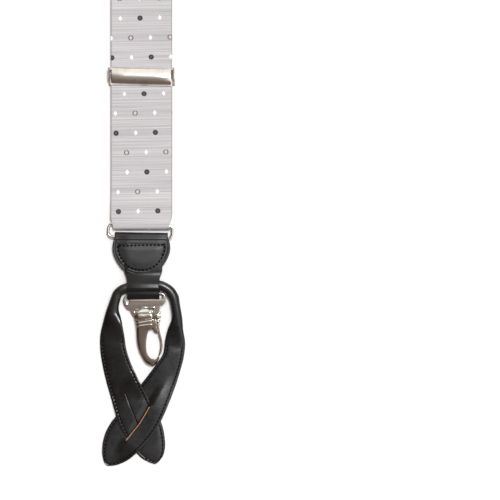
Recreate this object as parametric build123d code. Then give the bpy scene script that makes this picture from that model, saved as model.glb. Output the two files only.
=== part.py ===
"""Convertible Y-back dress suspenders, lying flat and folded over at the shoulders.

Millimetres. +Z is up, +Y runs from the button loops at the bottom to the shoulders, +X is
to the right. The suspenders are built with Y counted up from the tips of the front loops,
and every piece is then moved so that the origin is under the middle of the whole.
"""
import os
from copy import copy
from math import cos, pi, radians, sin, tan

from build123d import *

# Webbing
STRAP_WIDTH = 35.0
STRAP_THICK = 1.2
STRAP_Z = 1.7              # underside of a front strap over its tail
TAIL_Z = 0.2               # underside of the tail
ELASTIC_THICK = 1.2

# Layout
FRONT_X = 118.0            # centre of each front strap
SHOULDER_Y = 545.0         # middle of the shoulder crease
SHOULDER_R = 5.0           # outside radius of the fold
BACK_ANGLE = 25.0          # between a back leg and Y
BACK_END_Y = 12.0          # tips of the back loop
RAMP_LENGTH = 130.0        # a front strap climbs to its fold over this length
RAMP_STEPS = 10

# Leather yoke where the straps meet
YOKE_THICK = 1.2
YOKE_TOP_HALF = 38.0
YOKE_BOTTOM_HALF = 20.0
YOKE_UP = 34.0
YOKE_DOWN = 34.0
YOKE_STRAP_Z = YOKE_THICK
YOKE_REACH = 54.0          # a back leg stays level this far from the middle of the yoke
YOKE_RISE = 40.0           # and drops to the floor over this length
YOKE_CROWN = 4.0           # rise of the yoke's upper edge towards its middle
ELASTIC_RISE = 30.0        # the back strap climbs to the yoke over this length
SEAM_GAP = 0.15
FAR = 200.0                # longer than any cut needs to be

# Ring between the webbing and the leather
RING_Z = 2.6
RING_WIRE_R = 0.85
RING_WIDTH = 38.2
RING_TOP_Y = 137.9         # centre of the upper bar
RING_LOW_Y = 130.3         # centre of the lower bar
RING_CORNER_R = 2.8
RING_X = -0.6
RING_TILT = -2.0
FOLD_Y = 137.4             # centre of the webbing's fold round the upper bar
FOLD_INNER_R = 1.2
FOLD_HALF_WIDTH = 15.8     # the fold is drawn in between the ring's sides
FOLD_TRIM_Y = 140.0        # above this the webbing has its full width
FOLD_TRIM_LOW_Y = 133.4
FRONT_LEAD = 20.0          # the front layer settles from the fold over this length
FRONT_LEAD_KNEE = 6.0
FRONT_LEAD_DROP = 0.7
RETURN_LEAD = 16.0         # the back strap's sewn return settles over this length
RETURN_LENGTH = 36.0

# Leather tab: D-shaped patch and neck strip
TAB_THICK = 5.2
TAB_TOP_Y = 133.2
TAB_SHOULDER_Y = 125.5
TAB_BOTTOM_Y = 108.9
TAB_TOP_HALF = 15.0
TAB_HALF_WIDTH = 16.3
TAB_BAR_CLEARANCE = 0.35
NECK_X = 1.1
NECK_WIDTH = 18.2
NECK_LOW_Z = 1.4
NECK_HIGH_Z = 3.8
NECK_TOP_Y = 127.5
NECK_THROAT_Y = 109.5
NECK_STRIP = 1.1

# Button loop: rolled in the neck, flat at both ends
LOOP_AXIS_Y = 103.2
LOOP_AXIS_Z = 3.8
LOOP_TUBE_R = 2.3
LOOP_BORE_R = 2.6
LOOP_FLAT_Z = 0.2
LOOP_FLAT_THICK = 2.6
LOOP_LEFT_R = 7.5
LOOP_RIGHT_R = 9.5
LOOP_LEFT_X = -7.5
LOOP_RIGHT_X = 9.7

# Trigger snap
SNAP_X = 1.65
SNAP_AXIS_Y = 98.2
SNAP_TILT = 5.0
SNAP_MID_Z = 2.6
SNAP_BAR_R = 0.8
EYE_BORE_Y = 97.6
EYE_BORE_Z = 2.5
EYE_BORE_R = 1.3
EYE_HALF = 10.4            # half the clear width of the snap's eye
EYE_SIDE = 1.6             # width of the bars at its sides
PLATE_THICK = 1.6
HOOK_THICK = 4.0
BAND_THICK = 0.5
PIVOT_X = 9.8
PIVOT_Y = 85.6
RIVET_R = 0.8
RIVET_HOLE_R = 0.86
EAR_R = 1.7
TRIGGER_HUB_R = 1.35
TRIGGER_GAP = 0.15         # between the trigger and each ear
STEM_RIGHT = 6.9

# Adjuster
ADJUSTER_Y = 221.8         # middle of the cover
ADJUSTER_LENGTH = 9.8
FRAME_THICK = 0.9
FRAME_Z = 0.25
FRAME_BACK_LENGTH = 9.0
CHEEK_THICK = 0.9
CHEEK_INNER = 17.95
CHEEK_LENGTH = 5.6
CHEEK_TOP_Z = 5.3
LEVER_PIN_Y = 226.0
LEVER_PIN_Z = 4.4
LEVER_PIN_R = 0.6
LEVER_BORE_R = 0.66
LEVER_KNUCKLE_R = 1.25
LEVER_COVER_R = 8.0
LEVER_TOP_Z = 6.1
LEVER_THICK = 0.8
LEVER_WIDTH = 35.0
LIP_GAP = 0.15
LIP_TOP_Z = 4.2
TOOTH_COUNT = 8
TOOTH_GAP = 1.6
TOOTH_DEPTH = 0.7

# The fold's axis lies half way between the directions of the strap's two legs.
CREASE_ANGLE = -BACK_ANGLE / 2
CREASE_SHIFT = pi * (SHOULDER_R - STRAP_THICK / 2) * tan(radians(CREASE_ANGLE))
BACK_LEG_X = FRONT_X + CREASE_SHIFT * cos(radians(CREASE_ANGLE))
BACK_LEG_Y = SHOULDER_Y + CREASE_SHIFT * sin(radians(CREASE_ANGLE))
YOKE_Y = BACK_LEG_Y - BACK_LEG_X / tan(radians(BACK_ANGLE))
YOKE_SPLIT_Y = YOKE_Y - 14.0
BACK_LEG_LENGTH = BACK_LEG_X / sin(radians(BACK_ANGLE))
STRAP_TOP_Z = 2 * SHOULDER_R - STRAP_THICK


def smooth(t):
    """0 to 1 with level ends."""
    return t * t * (3 - 2 * t)


def side_face(points):
    """A face in the YZ plane through (y, z) points."""
    return Plane.YZ * make_face(Polyline(*points, close=True))


def ribbon(stations, width, thick=STRAP_THICK):
    """A strip along Y of even thickness, through (y, underside z) stations."""
    over = [(y, z + thick) for y, z in reversed(stations)]
    return extrude(side_face(list(stations) + over), width / 2, both=True)


def block(x_span, y_span, z_span):
    """A box between pairs of coordinates."""
    size = [high - low for low, high in (x_span, y_span, z_span)]
    middle = [(high + low) / 2 for low, high in (x_span, y_span, z_span)]
    return Pos(*middle) * Box(*size)


def upright(x, y, z_low, z_high, radius):
    """A vertical cylinder."""
    return Pos(x, y, (z_low + z_high) / 2) * Cylinder(radius, z_high - z_low)


def bar_along_x(x_low, x_high, y, z, radius):
    """A cylinder along X."""
    return Pos((x_low + x_high) / 2, y, z) * Rot(0, 90, 0) * Cylinder(radius, x_high - x_low)


def outline(*points):
    """A closed face through (x, y) points, smooth all round."""
    return make_face(Spline(*points, periodic=True))


def prism(face, z_low, z_high):
    """A flat face drawn in the XY plane, filled from z_low to z_high."""
    return extrude(Pos(0, 0, z_low) * face, z_high - z_low)


def half_shell(radius, thick, width, opening_side):
    """Half of a tube along X, on the +Y side (1) or the -Y side (-1)."""
    section = Circle(radius) - Circle(radius - thick)
    section &= Pos(opening_side * radius / 2, 0) * Rectangle(radius, 2 * radius)
    return extrude(Plane.YZ * section, width / 2, both=True)


# ---------------------------------------------------------------- webbing

def fold_corners():
    """What is cut off the webbing's corners, so that they clear the ring's sides."""
    right = block((FOLD_HALF_WIDTH, STRAP_WIDTH), (FOLD_TRIM_LOW_Y, FOLD_TRIM_Y), (-1, 8))
    return right + mirror(right, about=Plane.YZ)


def beyond_crease():
    """Everything on the far side of the shoulder crease."""
    return Pos(0, SHOULDER_Y, 0) * Rot(0, 0, CREASE_ANGLE) * block((-FAR, FAR), (0, FAR), (-1, 20))


def front_strap():
    """Front leg of one strap, from the ring's fold up to the shoulder crease."""
    stations = [(FOLD_Y, RING_Z + FOLD_INNER_R)]
    stations += [(FOLD_Y + FRONT_LEAD_KNEE, RING_Z + FOLD_INNER_R - FRONT_LEAD_DROP)]
    stations += [(FOLD_Y + FRONT_LEAD, STRAP_Z)]
    for step in range(RAMP_STEPS + 1):
        t = step / RAMP_STEPS
        y = SHOULDER_Y - RAMP_LENGTH * (1 - t)
        stations.append((y, STRAP_Z + (STRAP_TOP_Z - STRAP_Z) * smooth(t)))
    stations.append((SHOULDER_Y + STRAP_WIDTH / 2, STRAP_TOP_Z))
    strip = ribbon(stations, STRAP_WIDTH)
    return strip - beyond_crease() - fold_corners()


def strap_tail():
    """The strap's end, turned round the ring and brought back up to the adjuster."""
    reach = ADJUSTER_Y - FRAME_BACK_LENGTH / 2 - SEAM_GAP
    shell = half_shell(FOLD_INNER_R + STRAP_THICK, STRAP_THICK, STRAP_WIDTH, -1)
    strip = ribbon([(FOLD_Y, TAIL_Z), (reach, TAIL_Z)], STRAP_WIDTH)
    return Pos(0, FOLD_Y, RING_Z) * shell + strip - fold_corners()


def shoulder_fold():
    """The half turn of webbing at the shoulder, along the crease."""
    width = STRAP_WIDTH / cos(radians(CREASE_ANGLE))
    shell = half_shell(SHOULDER_R, STRAP_THICK, width, 1)
    return Pos(0, SHOULDER_Y, SHOULDER_R) * Rot(0, 0, CREASE_ANGLE) * shell


def back_leg():
    """Lower leg of a strap, from the shoulder crease in to the yoke."""
    reach = BACK_LEG_LENGTH + STRAP_WIDTH
    near_yoke = BACK_LEG_LENGTH - YOKE_REACH
    stations = [(-reach, YOKE_STRAP_Z), (-near_yoke, YOKE_STRAP_Z)]
    stations += [(-near_yoke + YOKE_RISE, 0), (STRAP_WIDTH, 0)]
    pose = Pos(BACK_LEG_X - FRONT_X, BACK_LEG_Y, 0) * Rot(0, 0, -BACK_ANGLE)
    middle = SEAM_GAP / 2 - FRONT_X
    strip = pose * ribbon(stations, STRAP_WIDTH) - beyond_crease()
    strip -= block((middle - FAR, middle), (0, SHOULDER_Y), (-1, 20))
    return strip - block((middle - FAR, FAR), (0, YOKE_SPLIT_Y), (-1, 20))


def back_strap():
    """Elastic centre strap, from the yoke down to the back ring, with its sewn return."""
    base = BACK_END_Y + FOLD_Y
    shell = half_shell(FOLD_INNER_R + ELASTIC_THICK, ELASTIC_THICK, STRAP_WIDTH, -1)
    rise = YOKE_Y - YOKE_DOWN
    end = YOKE_SPLIT_Y - SEAM_GAP
    stations = [(base, TAIL_Z), (rise - ELASTIC_RISE, TAIL_Z)]
    stations += [(rise, YOKE_STRAP_Z), (end, YOKE_STRAP_Z)]
    main = ribbon(stations, STRAP_WIDTH, ELASTIC_THICK)
    sewn = TAIL_Z + ELASTIC_THICK
    stations = [(base, RING_Z + FOLD_INNER_R)]
    stations += [(base + RETURN_LEAD, sewn), (base + RETURN_LENGTH, sewn)]
    turned = ribbon(stations, STRAP_WIDTH, ELASTIC_THICK)
    strip = Pos(0, base, RING_Z) * shell + main + turned
    return strip - Pos(0, BACK_END_Y, 0) * fold_corners()


def yoke(z_low):
    """One shield-shaped leather of the yoke."""
    top = YOKE_Y + YOKE_UP
    bottom = YOKE_Y - YOKE_DOWN
    right = Spline((0, top + YOKE_CROWN), (YOKE_TOP_HALF * 0.6, top + YOKE_CROWN / 2),
                   (YOKE_TOP_HALF, top - 12),
                   (YOKE_BOTTOM_HALF + 5, bottom + 24), (YOKE_BOTTOM_HALF, bottom + 3))
    left = mirror(right, about=Plane.YZ)
    base = Polyline((YOKE_BOTTOM_HALF, bottom + 3), (YOKE_BOTTOM_HALF - 3, bottom),
                    (3 - YOKE_BOTTOM_HALF, bottom), (-YOKE_BOTTOM_HALF, bottom + 3))
    return prism(make_face([right, left, *base.edges()]), z_low, z_low + YOKE_THICK)


# ---------------------------------------------------------------- one clip end

def tilted_ring_pose():
    """Where the ring's upper bar is, turned a little in its own plane."""
    return Pos(RING_X, RING_TOP_Y, RING_Z) * Rot(0, 0, RING_TILT)


def ring():
    """Wire loop: an upper bar in the webbing and a lower bar in the leather."""
    height = RING_TOP_Y - RING_LOW_Y
    width = RING_WIDTH - 2 * RING_WIRE_R
    track = Pos(0, -height / 2) * RectangleRounded(width, height, RING_CORNER_R)
    path = track.wire()
    section = Plane(origin=path @ 0, z_dir=path % 0) * Circle(RING_WIRE_R)
    return tilted_ring_pose() * sweep(section, path=path)


def ring_bar_room():
    """Room for the ring's lower bar to turn in the patch's fold."""
    low = RING_LOW_Y - RING_TOP_Y
    radius = RING_WIRE_R + TAB_BAR_CLEARANCE
    return tilted_ring_pose() * bar_along_x(-RING_WIDTH, RING_WIDTH, low, 0, radius)


def neck_profile(strip):
    """The neck's side view, grown outwards by the strip's thickness."""
    tube = Pos(LOOP_AXIS_Y, LOOP_AXIS_Z) * Circle(LOOP_BORE_R + strip)
    eye = Pos(EYE_BORE_Y, EYE_BORE_Z) * Circle(EYE_BORE_R + strip)
    return make_hull(tube.edges() + eye.edges())


def neck():
    """Leather strip doubled inside the patch and looped round the button loop and the snap's eye."""
    height = NECK_HIGH_Z - NECK_LOW_Z
    middle = (NECK_HIGH_Z + NECK_LOW_Z) / 2
    length = NECK_TOP_Y - NECK_THROAT_Y
    flat = Pos((NECK_TOP_Y + NECK_THROAT_Y) / 2, middle) * Rectangle(length, height)
    tube = Pos(LOOP_AXIS_Y, LOOP_AXIS_Z) * Circle(LOOP_BORE_R + NECK_STRIP)
    throat = Pos(NECK_THROAT_Y, middle) * Rectangle(1, height)
    side = neck_profile(NECK_STRIP) + make_hull(tube.edges() + throat.edges()) + flat
    side -= neck_profile(0)
    return Pos(NECK_X, 0, 0) * extrude(Plane.YZ * side, NECK_WIDTH / 2, both=True)


def patch():
    """D-shaped leather folded over the ring's lower bar and sewn round the neck."""
    side = [(TAB_TOP_HALF, TAB_TOP_Y), (TAB_HALF_WIDTH, TAB_SHOULDER_Y), (TAB_HALF_WIDTH - 2, 117.7),
            (10.5, 112.0), (0, TAB_BOTTOM_Y)]
    right = Spline(*side, tangents=[(0.3, -1), (-1, 0)])
    left = mirror(right, about=Plane.YZ)
    top = Line((TAB_TOP_HALF, TAB_TOP_Y), (-TAB_TOP_HALF, TAB_TOP_Y))
    body = prism(make_face([right, left, top]), 0, TAB_THICK)
    fold_round = Pos(0, RING_LOW_Y, TAB_THICK / 2) * block((-30, 30), (0, 5), (-5, 5))
    fold_round -= bar_along_x(-30, 30, RING_LOW_Y + 0.3, TAB_THICK / 2, TAB_THICK / 2)
    return body - fold_round - neck() - ring_bar_room()


def snap_pose():
    """The snap's eye bar, turned a little in the plane of the plate."""
    return Pos(SNAP_X, SNAP_AXIS_Y, SNAP_MID_Z) * Rot(0, 0, SNAP_TILT)


def snap_eye():
    """Stamped plate: a wide eye round the neck, shoulders, and a throat that holds the hook."""
    body = outline((-10.4, 96.2), (-9.6, 91.4), (-6.2, 89.4), (-4.6, 86.2), (-2.0, 84.2), (2.4, 84.0),
                   (5.6, 84.4), (7.6, 87.8), (9.3, 90.7), (12.6, 91.6), (13.6, 95.0), (12.9, 98.6),
                   (8.0, 98.4), (-8.0, 96.9))
    low = SNAP_MID_Z - PLATE_THICK / 2
    plate = prism(body, low, low + PLATE_THICK)
    plate -= snap_pose() * block((-EYE_HALF, EYE_HALF), (-4.2, 4), (-4, 4))
    outer = EYE_HALF + EYE_SIDE
    side_z = (-PLATE_THICK / 2, PLATE_THICK / 2)
    sides = snap_pose() * block((EYE_HALF, outer), (-4.2, 0.2), side_z)
    sides += snap_pose() * block((-outer, -EYE_HALF), (-4.2, 0.2), side_z)
    bar = snap_pose() * bar_along_x(0.2 - outer, outer - 0.2, 0, 0, SNAP_BAR_R)
    window = block((-3.0, 6.6), (87.6, 90.4), (0, 6))
    return plate + sides + bar - window


def snap_collar():
    """Rolled band that wraps the throat round the hook's stem."""
    half = HOOK_THICK / 2 + BAND_THICK
    band = block((-3.7, STEM_RIGHT + BAND_THICK), (80.2, 82.9), (SNAP_MID_Z - half, SNAP_MID_Z + half))
    band = fillet(band.edges().filter_by(Axis.X), 0.8)
    return band - hook_body()


def hook_body():
    """Cast J: a broad limb on the left, a round bottom and a tip that the gate closes on."""
    outer = outline((-2.9, 80.8), (-2.9, 76.0), (-2.4, 70.0), (-0.6, 64.2), (2.0, 59.6), (5.8, 57.5),
                    (8.4, 58.4), (8.9, 61.0), (8.9, 68.0), (8.8, 76.6), (6.6, 80.8), (2.0, 81.2))
    inner = outline((3.0, 76.4), (2.6, 71.0), (2.9, 65.4), (5.0, 62.8), (7.6, 61.4), (8.6, 61.6),
                    (9.6, 63.4), (12.5, 69.0), (12.0, 76.0), (6.4, 78.3))
    low = SNAP_MID_Z - HOOK_THICK / 2
    high = low + HOOK_THICK
    body = prism(outer, low, high) + block((-2.9, STEM_RIGHT), (79.5, 87.2), (low, high))
    body += upright(PIVOT_X, PIVOT_Y, low, high, EAR_R)
    body += block((STEM_RIGHT - 2, PIVOT_X), (PIVOT_Y - 1.2, PIVOT_Y + 1.2), (low, high))
    body -= prism(inner, low - 1, high + 1)
    slot_low = SNAP_MID_Z - PLATE_THICK / 2 - TRIGGER_GAP
    slot_high = SNAP_MID_Z + PLATE_THICK / 2 + TRIGGER_GAP
    body -= upright(PIVOT_X, PIVOT_Y, slot_low, slot_high, EAR_R + 0.3)
    body -= block((STEM_RIGHT, 14), (74, 92), (slot_low, slot_high))
    return body


def snap_hook():
    """The hook, cut away where the plate's throat and the rivet enter it."""
    body = hook_body() - upright(PIVOT_X, PIVOT_Y, 0, 6, RIVET_R)
    return body - snap_eye()


def snap_rivet():
    """Pivot pin of the trigger, in the hook's two ears."""
    low = SNAP_MID_Z - HOOK_THICK / 2
    return upright(PIVOT_X, PIVOT_Y, low, low + HOOK_THICK, RIVET_R)


def gate_outline():
    """The gate's long springy blade, from the pivot to the hook's tip."""
    return outline((10.4, 84.6), (10.3, 80.6), (10.6, 76.6), (11.3, 72.0), (11.6, 68.0), (11.0, 64.8),
                   (10.0, 62.4), (9.2, 62.8), (9.9, 65.2), (10.4, 68.2), (10.1, 72.0), (9.4, 76.6),
                   (9.1, 80.6), (9.1, 84.6))


def snap_trigger():
    """Spring gate that closes the hook, with its thumb piece above the pivot."""
    corners = [(9.0, 86.0), (9.2, 89.0), (10.6, 89.6), (11.4, 88.6), (10.9, 85.6)]
    thumb = make_face(Polyline(*corners, close=True))
    low = SNAP_MID_Z - PLATE_THICK / 2
    body = prism(gate_outline(), low, low + PLATE_THICK) + prism(thumb, low, low + PLATE_THICK)
    body += upright(PIVOT_X, PIVOT_Y, low, low + PLATE_THICK, TRIGGER_HUB_R)
    return body - upright(PIVOT_X, PIVOT_Y, 0, 6, RIVET_HOLE_R)


def trigger_spring():
    """Leaf that pushes the gate shut from the hook's stem."""
    return block((STEM_RIGHT, STEM_RIGHT + 0.3), (74.5, 80.0), (2.0, 3.2))


def loop_tube():
    """Rolled middle of the button loop, through the neck and a quarter turn down each side."""
    corners = [(LOOP_LEFT_X - LOOP_LEFT_R, LOOP_AXIS_Y - LOOP_LEFT_R - 3),
               (LOOP_LEFT_X - LOOP_LEFT_R, LOOP_AXIS_Y),
               (LOOP_RIGHT_X + LOOP_RIGHT_R, LOOP_AXIS_Y),
               (LOOP_RIGHT_X + LOOP_RIGHT_R, LOOP_AXIS_Y - LOOP_RIGHT_R - 3)]
    path = FilletPolyline(*corners, radius=[LOOP_LEFT_R, LOOP_RIGHT_R])
    path = Pos(0, 0, LOOP_AXIS_Z) * path
    section = Plane(origin=path @ 0, z_dir=path % 0) * Circle(LOOP_TUBE_R)
    return sweep(section, path=path)


def left_arm():
    """Flat arm from the left side of the neck down to the right-hand button end."""
    return outline((-18.6, 93.0), (-21.4, 84.6), (-23.8, 74.4), (-22.5, 58.4), (-19.7, 46.5), (-14.6, 28.5),
                   (-8.4, 14.0), (-3.1, 5.8), (3.0, 2.4), (9.0, 1.4), (12.6, 8.6), (13.3, 16.0),
                   (11.4, 25.0), (4.9, 36.8), (-0.2, 46.4), (-5.6, 58.5), (-9.2, 71.5), (-10.5, 83.0),
                   (-12.6, 91.0), (-15.6, 94.4))


def right_arm():
    """Flat arm from the right side of the neck down to the left-hand button end."""
    return outline((21.8, 93.2), (23.4, 83.5), (24.8, 69.3), (23.0, 57.4), (18.0, 41.9), (9.4, 22.0),
                   (-2.0, 8.4), (-10.0, 1.9), (-17.0, 0.2), (-21.0, 3.2), (-22.6, 10.0), (-20.2, 20.2),
                   (-14.8, 28.4), (-7.1, 38.0), (2.6, 50.4), (8.8, 58.4), (12.7, 67.0), (14.2, 75.0),
                   (16.8, 81.5), (17.6, 86.5), (16.6, 92.5), (19.2, 94.4))


def front_strip():
    """The half of the right arm that crosses over the left one, beside its button slit."""
    return outline((5.1, 33.9), (-1.3, 24.2), (-7.7, 15.4), (-6.0, 8.4), (-2.2, 8.6), (3.7, 14.8),
                   (9.0, 22.0), (12.6, 30.0), (10.0, 34.6))


def button_loop():
    """One leather strap: rolled in the middle, its slit ends buttoned through each other."""
    top = LOOP_FLAT_Z + LOOP_FLAT_THICK
    arms = prism(left_arm(), LOOP_FLAT_Z, top) + prism(right_arm(), LOOP_FLAT_Z, top)
    return arms + prism(front_strip(), LOOP_FLAT_Z, top + LOOP_FLAT_THICK) + loop_tube()


# ---------------------------------------------------------------- adjuster

def adjuster_frame():
    """Back plate behind the strap with a cheek up each side."""
    back_half = FRAME_BACK_LENGTH / 2
    outer = CHEEK_INNER + CHEEK_THICK
    y_span = (ADJUSTER_Y - back_half, ADJUSTER_Y + back_half)
    body = block((-outer, outer), y_span, (FRAME_Z, FRAME_Z + FRAME_THICK))
    for side in (-1, 1):
        x_span = sorted((side * CHEEK_INNER, side * outer))
        low_y = LEVER_PIN_Y - CHEEK_LENGTH
        body += block(x_span, (low_y, LEVER_PIN_Y + 1), (FRAME_Z, CHEEK_TOP_Z))
    return body - bar_along_x(-outer, outer, LEVER_PIN_Y, LEVER_PIN_Z, LEVER_PIN_R)


def adjuster_pin():
    """Hinge pin across the two cheeks."""
    outer = CHEEK_INNER + CHEEK_THICK
    return bar_along_x(-outer, outer, LEVER_PIN_Y, LEVER_PIN_Z, LEVER_PIN_R)


def adjuster_lever():
    """Crowned cover that hinges at its upper edge and bites the strap with a toothed lip."""
    low_y = ADJUSTER_Y - ADJUSTER_LENGTH / 2
    centre_z = LEVER_TOP_Z - LEVER_COVER_R
    crown = Circle(LEVER_COVER_R) - Circle(LEVER_COVER_R - LEVER_THICK)
    crown = Pos(ADJUSTER_Y, centre_z) * crown
    crown &= Pos((low_y + LEVER_PIN_Y) / 2, LEVER_TOP_Z) * Rectangle(LEVER_PIN_Y - low_y, 6)
    lip_low = STRAP_Z + STRAP_THICK + LIP_GAP
    lip = Pos(low_y + LEVER_THICK / 2, (lip_low + LIP_TOP_Z) / 2)
    lip *= Rectangle(LEVER_THICK, LIP_TOP_Z - lip_low)
    knuckle = Pos(LEVER_PIN_Y, LEVER_PIN_Z) * Circle(LEVER_KNUCKLE_R)
    bore = Pos(LEVER_PIN_Y, LEVER_PIN_Z) * Circle(LEVER_BORE_R)
    body = extrude(Plane.YZ * (crown + lip + knuckle - bore), LEVER_WIDTH / 2, both=True)
    pitch = LEVER_WIDTH / TOOTH_COUNT
    for tooth in range(1, TOOTH_COUNT):
        x = -LEVER_WIDTH / 2 + tooth * pitch
        x_span = (x - TOOTH_GAP / 2, x + TOOTH_GAP / 2)
        body -= block(x_span, (low_y - 1, low_y + 2), (lip_low - 1, lip_low + TOOTH_DEPTH))
    return body


# ---------------------------------------------------------------- assembly

CLIP_END = {
    "ring": ring,
    "patch": patch,
    "neck": neck,
    "snap_eye": snap_eye,
    "snap_collar": snap_collar,
    "snap_hook": snap_hook,
    "snap_rivet": snap_rivet,
    "snap_trigger": snap_trigger,
    "trigger_spring": trigger_spring,
    "button_loop": button_loop,
}
FRONT_STRAP = {
    "strap_tail": strap_tail,
    "adjuster_frame": adjuster_frame,
    "adjuster_pin": adjuster_pin,
    "adjuster_lever": adjuster_lever,
}
HANDED = {"front_strap": front_strap, "shoulder_fold": shoulder_fold, "back_leg": back_leg}


def all_pieces():
    """Every named piece, with Y counted from the tips of the front loops."""
    pieces = {}
    for name, make in {**CLIP_END, **FRONT_STRAP}.items():
        shape = make()
        pieces[name + "_right"] = Pos(FRONT_X, 0, 0) * shape
        pieces[name + "_left"] = Pos(-FRONT_X, 0, 0) * shape
        if name in CLIP_END:
            pieces[name + "_back"] = Pos(0, BACK_END_Y, 0) * mirror(shape, about=Plane.YZ)
    for name, make in HANDED.items():
        pieces[name + "_right"] = Pos(FRONT_X, 0, 0) * make()
        pieces[name + "_left"] = mirror(pieces[name + "_right"], about=Plane.YZ)
    pieces["back_strap"] = back_strap()
    pieces["yoke_under"] = yoke(0)
    pieces["yoke_over"] = yoke(YOKE_STRAP_Z + STRAP_THICK)
    return pieces


pieces = all_pieces()
whole = Compound(children=[copy(shape) for shape in pieces.values()]).bounding_box()
ORIGIN_X = whole.center().X
ORIGIN_Y = whole.center().Y

os.makedirs("parts", exist_ok=True)
for name, shape in pieces.items():
    export_step(Pos(-ORIGIN_X, -ORIGIN_Y, 0) * shape, f"parts/{name}.step")
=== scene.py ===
import math

import bmesh
import bpy
import numpy as np
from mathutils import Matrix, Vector


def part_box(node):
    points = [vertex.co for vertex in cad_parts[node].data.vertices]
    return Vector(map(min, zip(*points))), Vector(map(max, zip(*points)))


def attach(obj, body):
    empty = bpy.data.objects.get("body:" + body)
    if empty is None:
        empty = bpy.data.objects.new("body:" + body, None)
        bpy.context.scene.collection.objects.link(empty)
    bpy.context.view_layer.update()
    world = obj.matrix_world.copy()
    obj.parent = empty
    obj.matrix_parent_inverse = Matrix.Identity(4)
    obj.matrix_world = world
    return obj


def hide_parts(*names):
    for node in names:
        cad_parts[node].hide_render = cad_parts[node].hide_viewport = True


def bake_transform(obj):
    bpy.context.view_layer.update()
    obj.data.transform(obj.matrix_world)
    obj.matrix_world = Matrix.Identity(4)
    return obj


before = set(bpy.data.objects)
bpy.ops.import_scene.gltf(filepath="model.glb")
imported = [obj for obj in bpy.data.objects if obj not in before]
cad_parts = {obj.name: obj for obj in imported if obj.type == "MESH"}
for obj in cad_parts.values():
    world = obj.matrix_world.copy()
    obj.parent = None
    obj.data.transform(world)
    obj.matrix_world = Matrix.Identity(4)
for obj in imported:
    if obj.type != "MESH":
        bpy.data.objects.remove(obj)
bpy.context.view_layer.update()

MM = 0.001

# Sizes of the pieces in millimetres. Places come from the frame's boxes.
STRAP_HALF = 17.5
STRAP_THICK = 1.2
FOLD_LOW = 135.0            # the webbing's fold round the ring, above the loop's tips
FOLD_Y = 137.4
DRAWN_IN = 1.4              # taken off half the webbing's width at the ring
FOLD_R = 1.8                # middle of the webbing's thickness at that fold
RING_Z = 2.6
STRAP_Z = 1.7
TAIL_Z = 0.2
SHOULDER_R = 4.4
BACK_ANGLE = math.radians(25)
CREASE = BACK_ANGLE / 2
RAMP = 130.0
LEATHER = 1.2
STITCH_PITCH = 2.15


# ---- frame of each clip end

class End:
    """A frame of its own in millimetres, from a point in metres: u across, v up, z off the floor."""

    def __init__(self, name, x, y, side=1):
        self.name = name
        self.x = x
        self.y = y
        self.side = side

    def at(self, u, v, z):
        return Vector((self.x + self.side * u * MM, self.y + v * MM, z * MM))


def clip_end(name, strap_node, side):
    """The frame of one clip end, with v counted up from the loop's tips."""
    low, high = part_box(strap_node)
    return End(name, (low.x + high.x) / 2, low.y - FOLD_LOW * MM, side)


RIGHT = clip_end("right", "strap_tail_right", 1)
LEFT = clip_end("left", "strap_tail_left", 1)
BACK = clip_end("back", "back_strap", -1)
ENDS = (RIGHT, LEFT, BACK)


# ---- mesh building

def smooth(t):
    t = min(1.0, max(0.0, t))
    return t * t * (3 - 2 * t)


def finish_mesh(name, verts, faces, uvs=None, face_materials=None, materials=()):
    """A closed, outward-facing, smooth mesh object."""
    mesh = bpy.data.meshes.new(name)
    mesh.from_pydata([tuple(v) for v in verts], [], faces)
    if uvs is not None:
        layer = mesh.uv_layers.new(name="strip")
        for loop in mesh.loops:
            layer.data[loop.index].uv = uvs[loop.vertex_index]
    for mat in materials:
        mesh.materials.append(mat)
    if face_materials is not None:
        mesh.polygons.foreach_set("material_index", face_materials)
    work = bmesh.new()
    work.from_mesh(mesh)
    bmesh.ops.recalc_face_normals(work, faces=work.faces)
    work.to_mesh(mesh)
    work.free()
    mesh.polygons.foreach_set("use_smooth", [True] * len(mesh.polygons))
    mesh.set_sharp_from_angle(angle=math.radians(50))
    obj = bpy.data.objects.new(name, mesh)
    bpy.context.scene.collection.objects.link(obj)
    return obj


class Builder:
    """Collects closed parts into one mesh."""

    def __init__(self):
        self.verts = []
        self.faces = []
        self.kinds = []

    def rings(self, rings):
        """A skin over rings of points, capped at both ends."""
        base = len(self.verts)
        count = len(rings[0])
        for ring in rings:
            self.verts += ring
        last = base + (len(rings) - 1) * count
        for a in range(base, last, count):
            for k in range(count):
                n = (k + 1) % count
                self.faces.append((a + k, a + n, a + count + n, a + count + k))
        self.faces.append(tuple(range(base, base + count)))
        self.faces.append(tuple(range(last, last + count)))
        self.kinds += [0] * (len(self.faces) - len(self.kinds))

    def slab(self, top, bottom, under):
        """A closed slab between two grids of points, with a look of its own beneath."""
        base = len(self.verts)
        rows, cols = len(top), len(top[0])
        for row in top + bottom:
            self.verts += row

        def at(layer, i, j):
            return base + (layer * rows + i) * cols + j

        for i in range(rows - 1):
            for j in range(cols - 1):
                for layer, look in ((0, 0), (1, under)):
                    self.faces.append((at(layer, i, j), at(layer, i, j + 1),
                                       at(layer, i + 1, j + 1), at(layer, i + 1, j)))
                    self.kinds.append(look)
        for i in range(rows - 1):
            for j in (0, cols - 1):
                self.faces.append((at(0, i, j), at(0, i + 1, j), at(1, i + 1, j), at(1, i, j)))
        for j in range(cols - 1):
            for i in (0, rows - 1):
                self.faces.append((at(0, i, j), at(0, i, j + 1), at(1, i, j + 1), at(1, i, j)))
        self.kinds += [0] * (len(self.faces) - len(self.kinds))

    def make(self, name, materials, uvs=None):
        return finish_mesh(name, self.verts, self.faces, uvs, self.kinds, materials)


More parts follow.
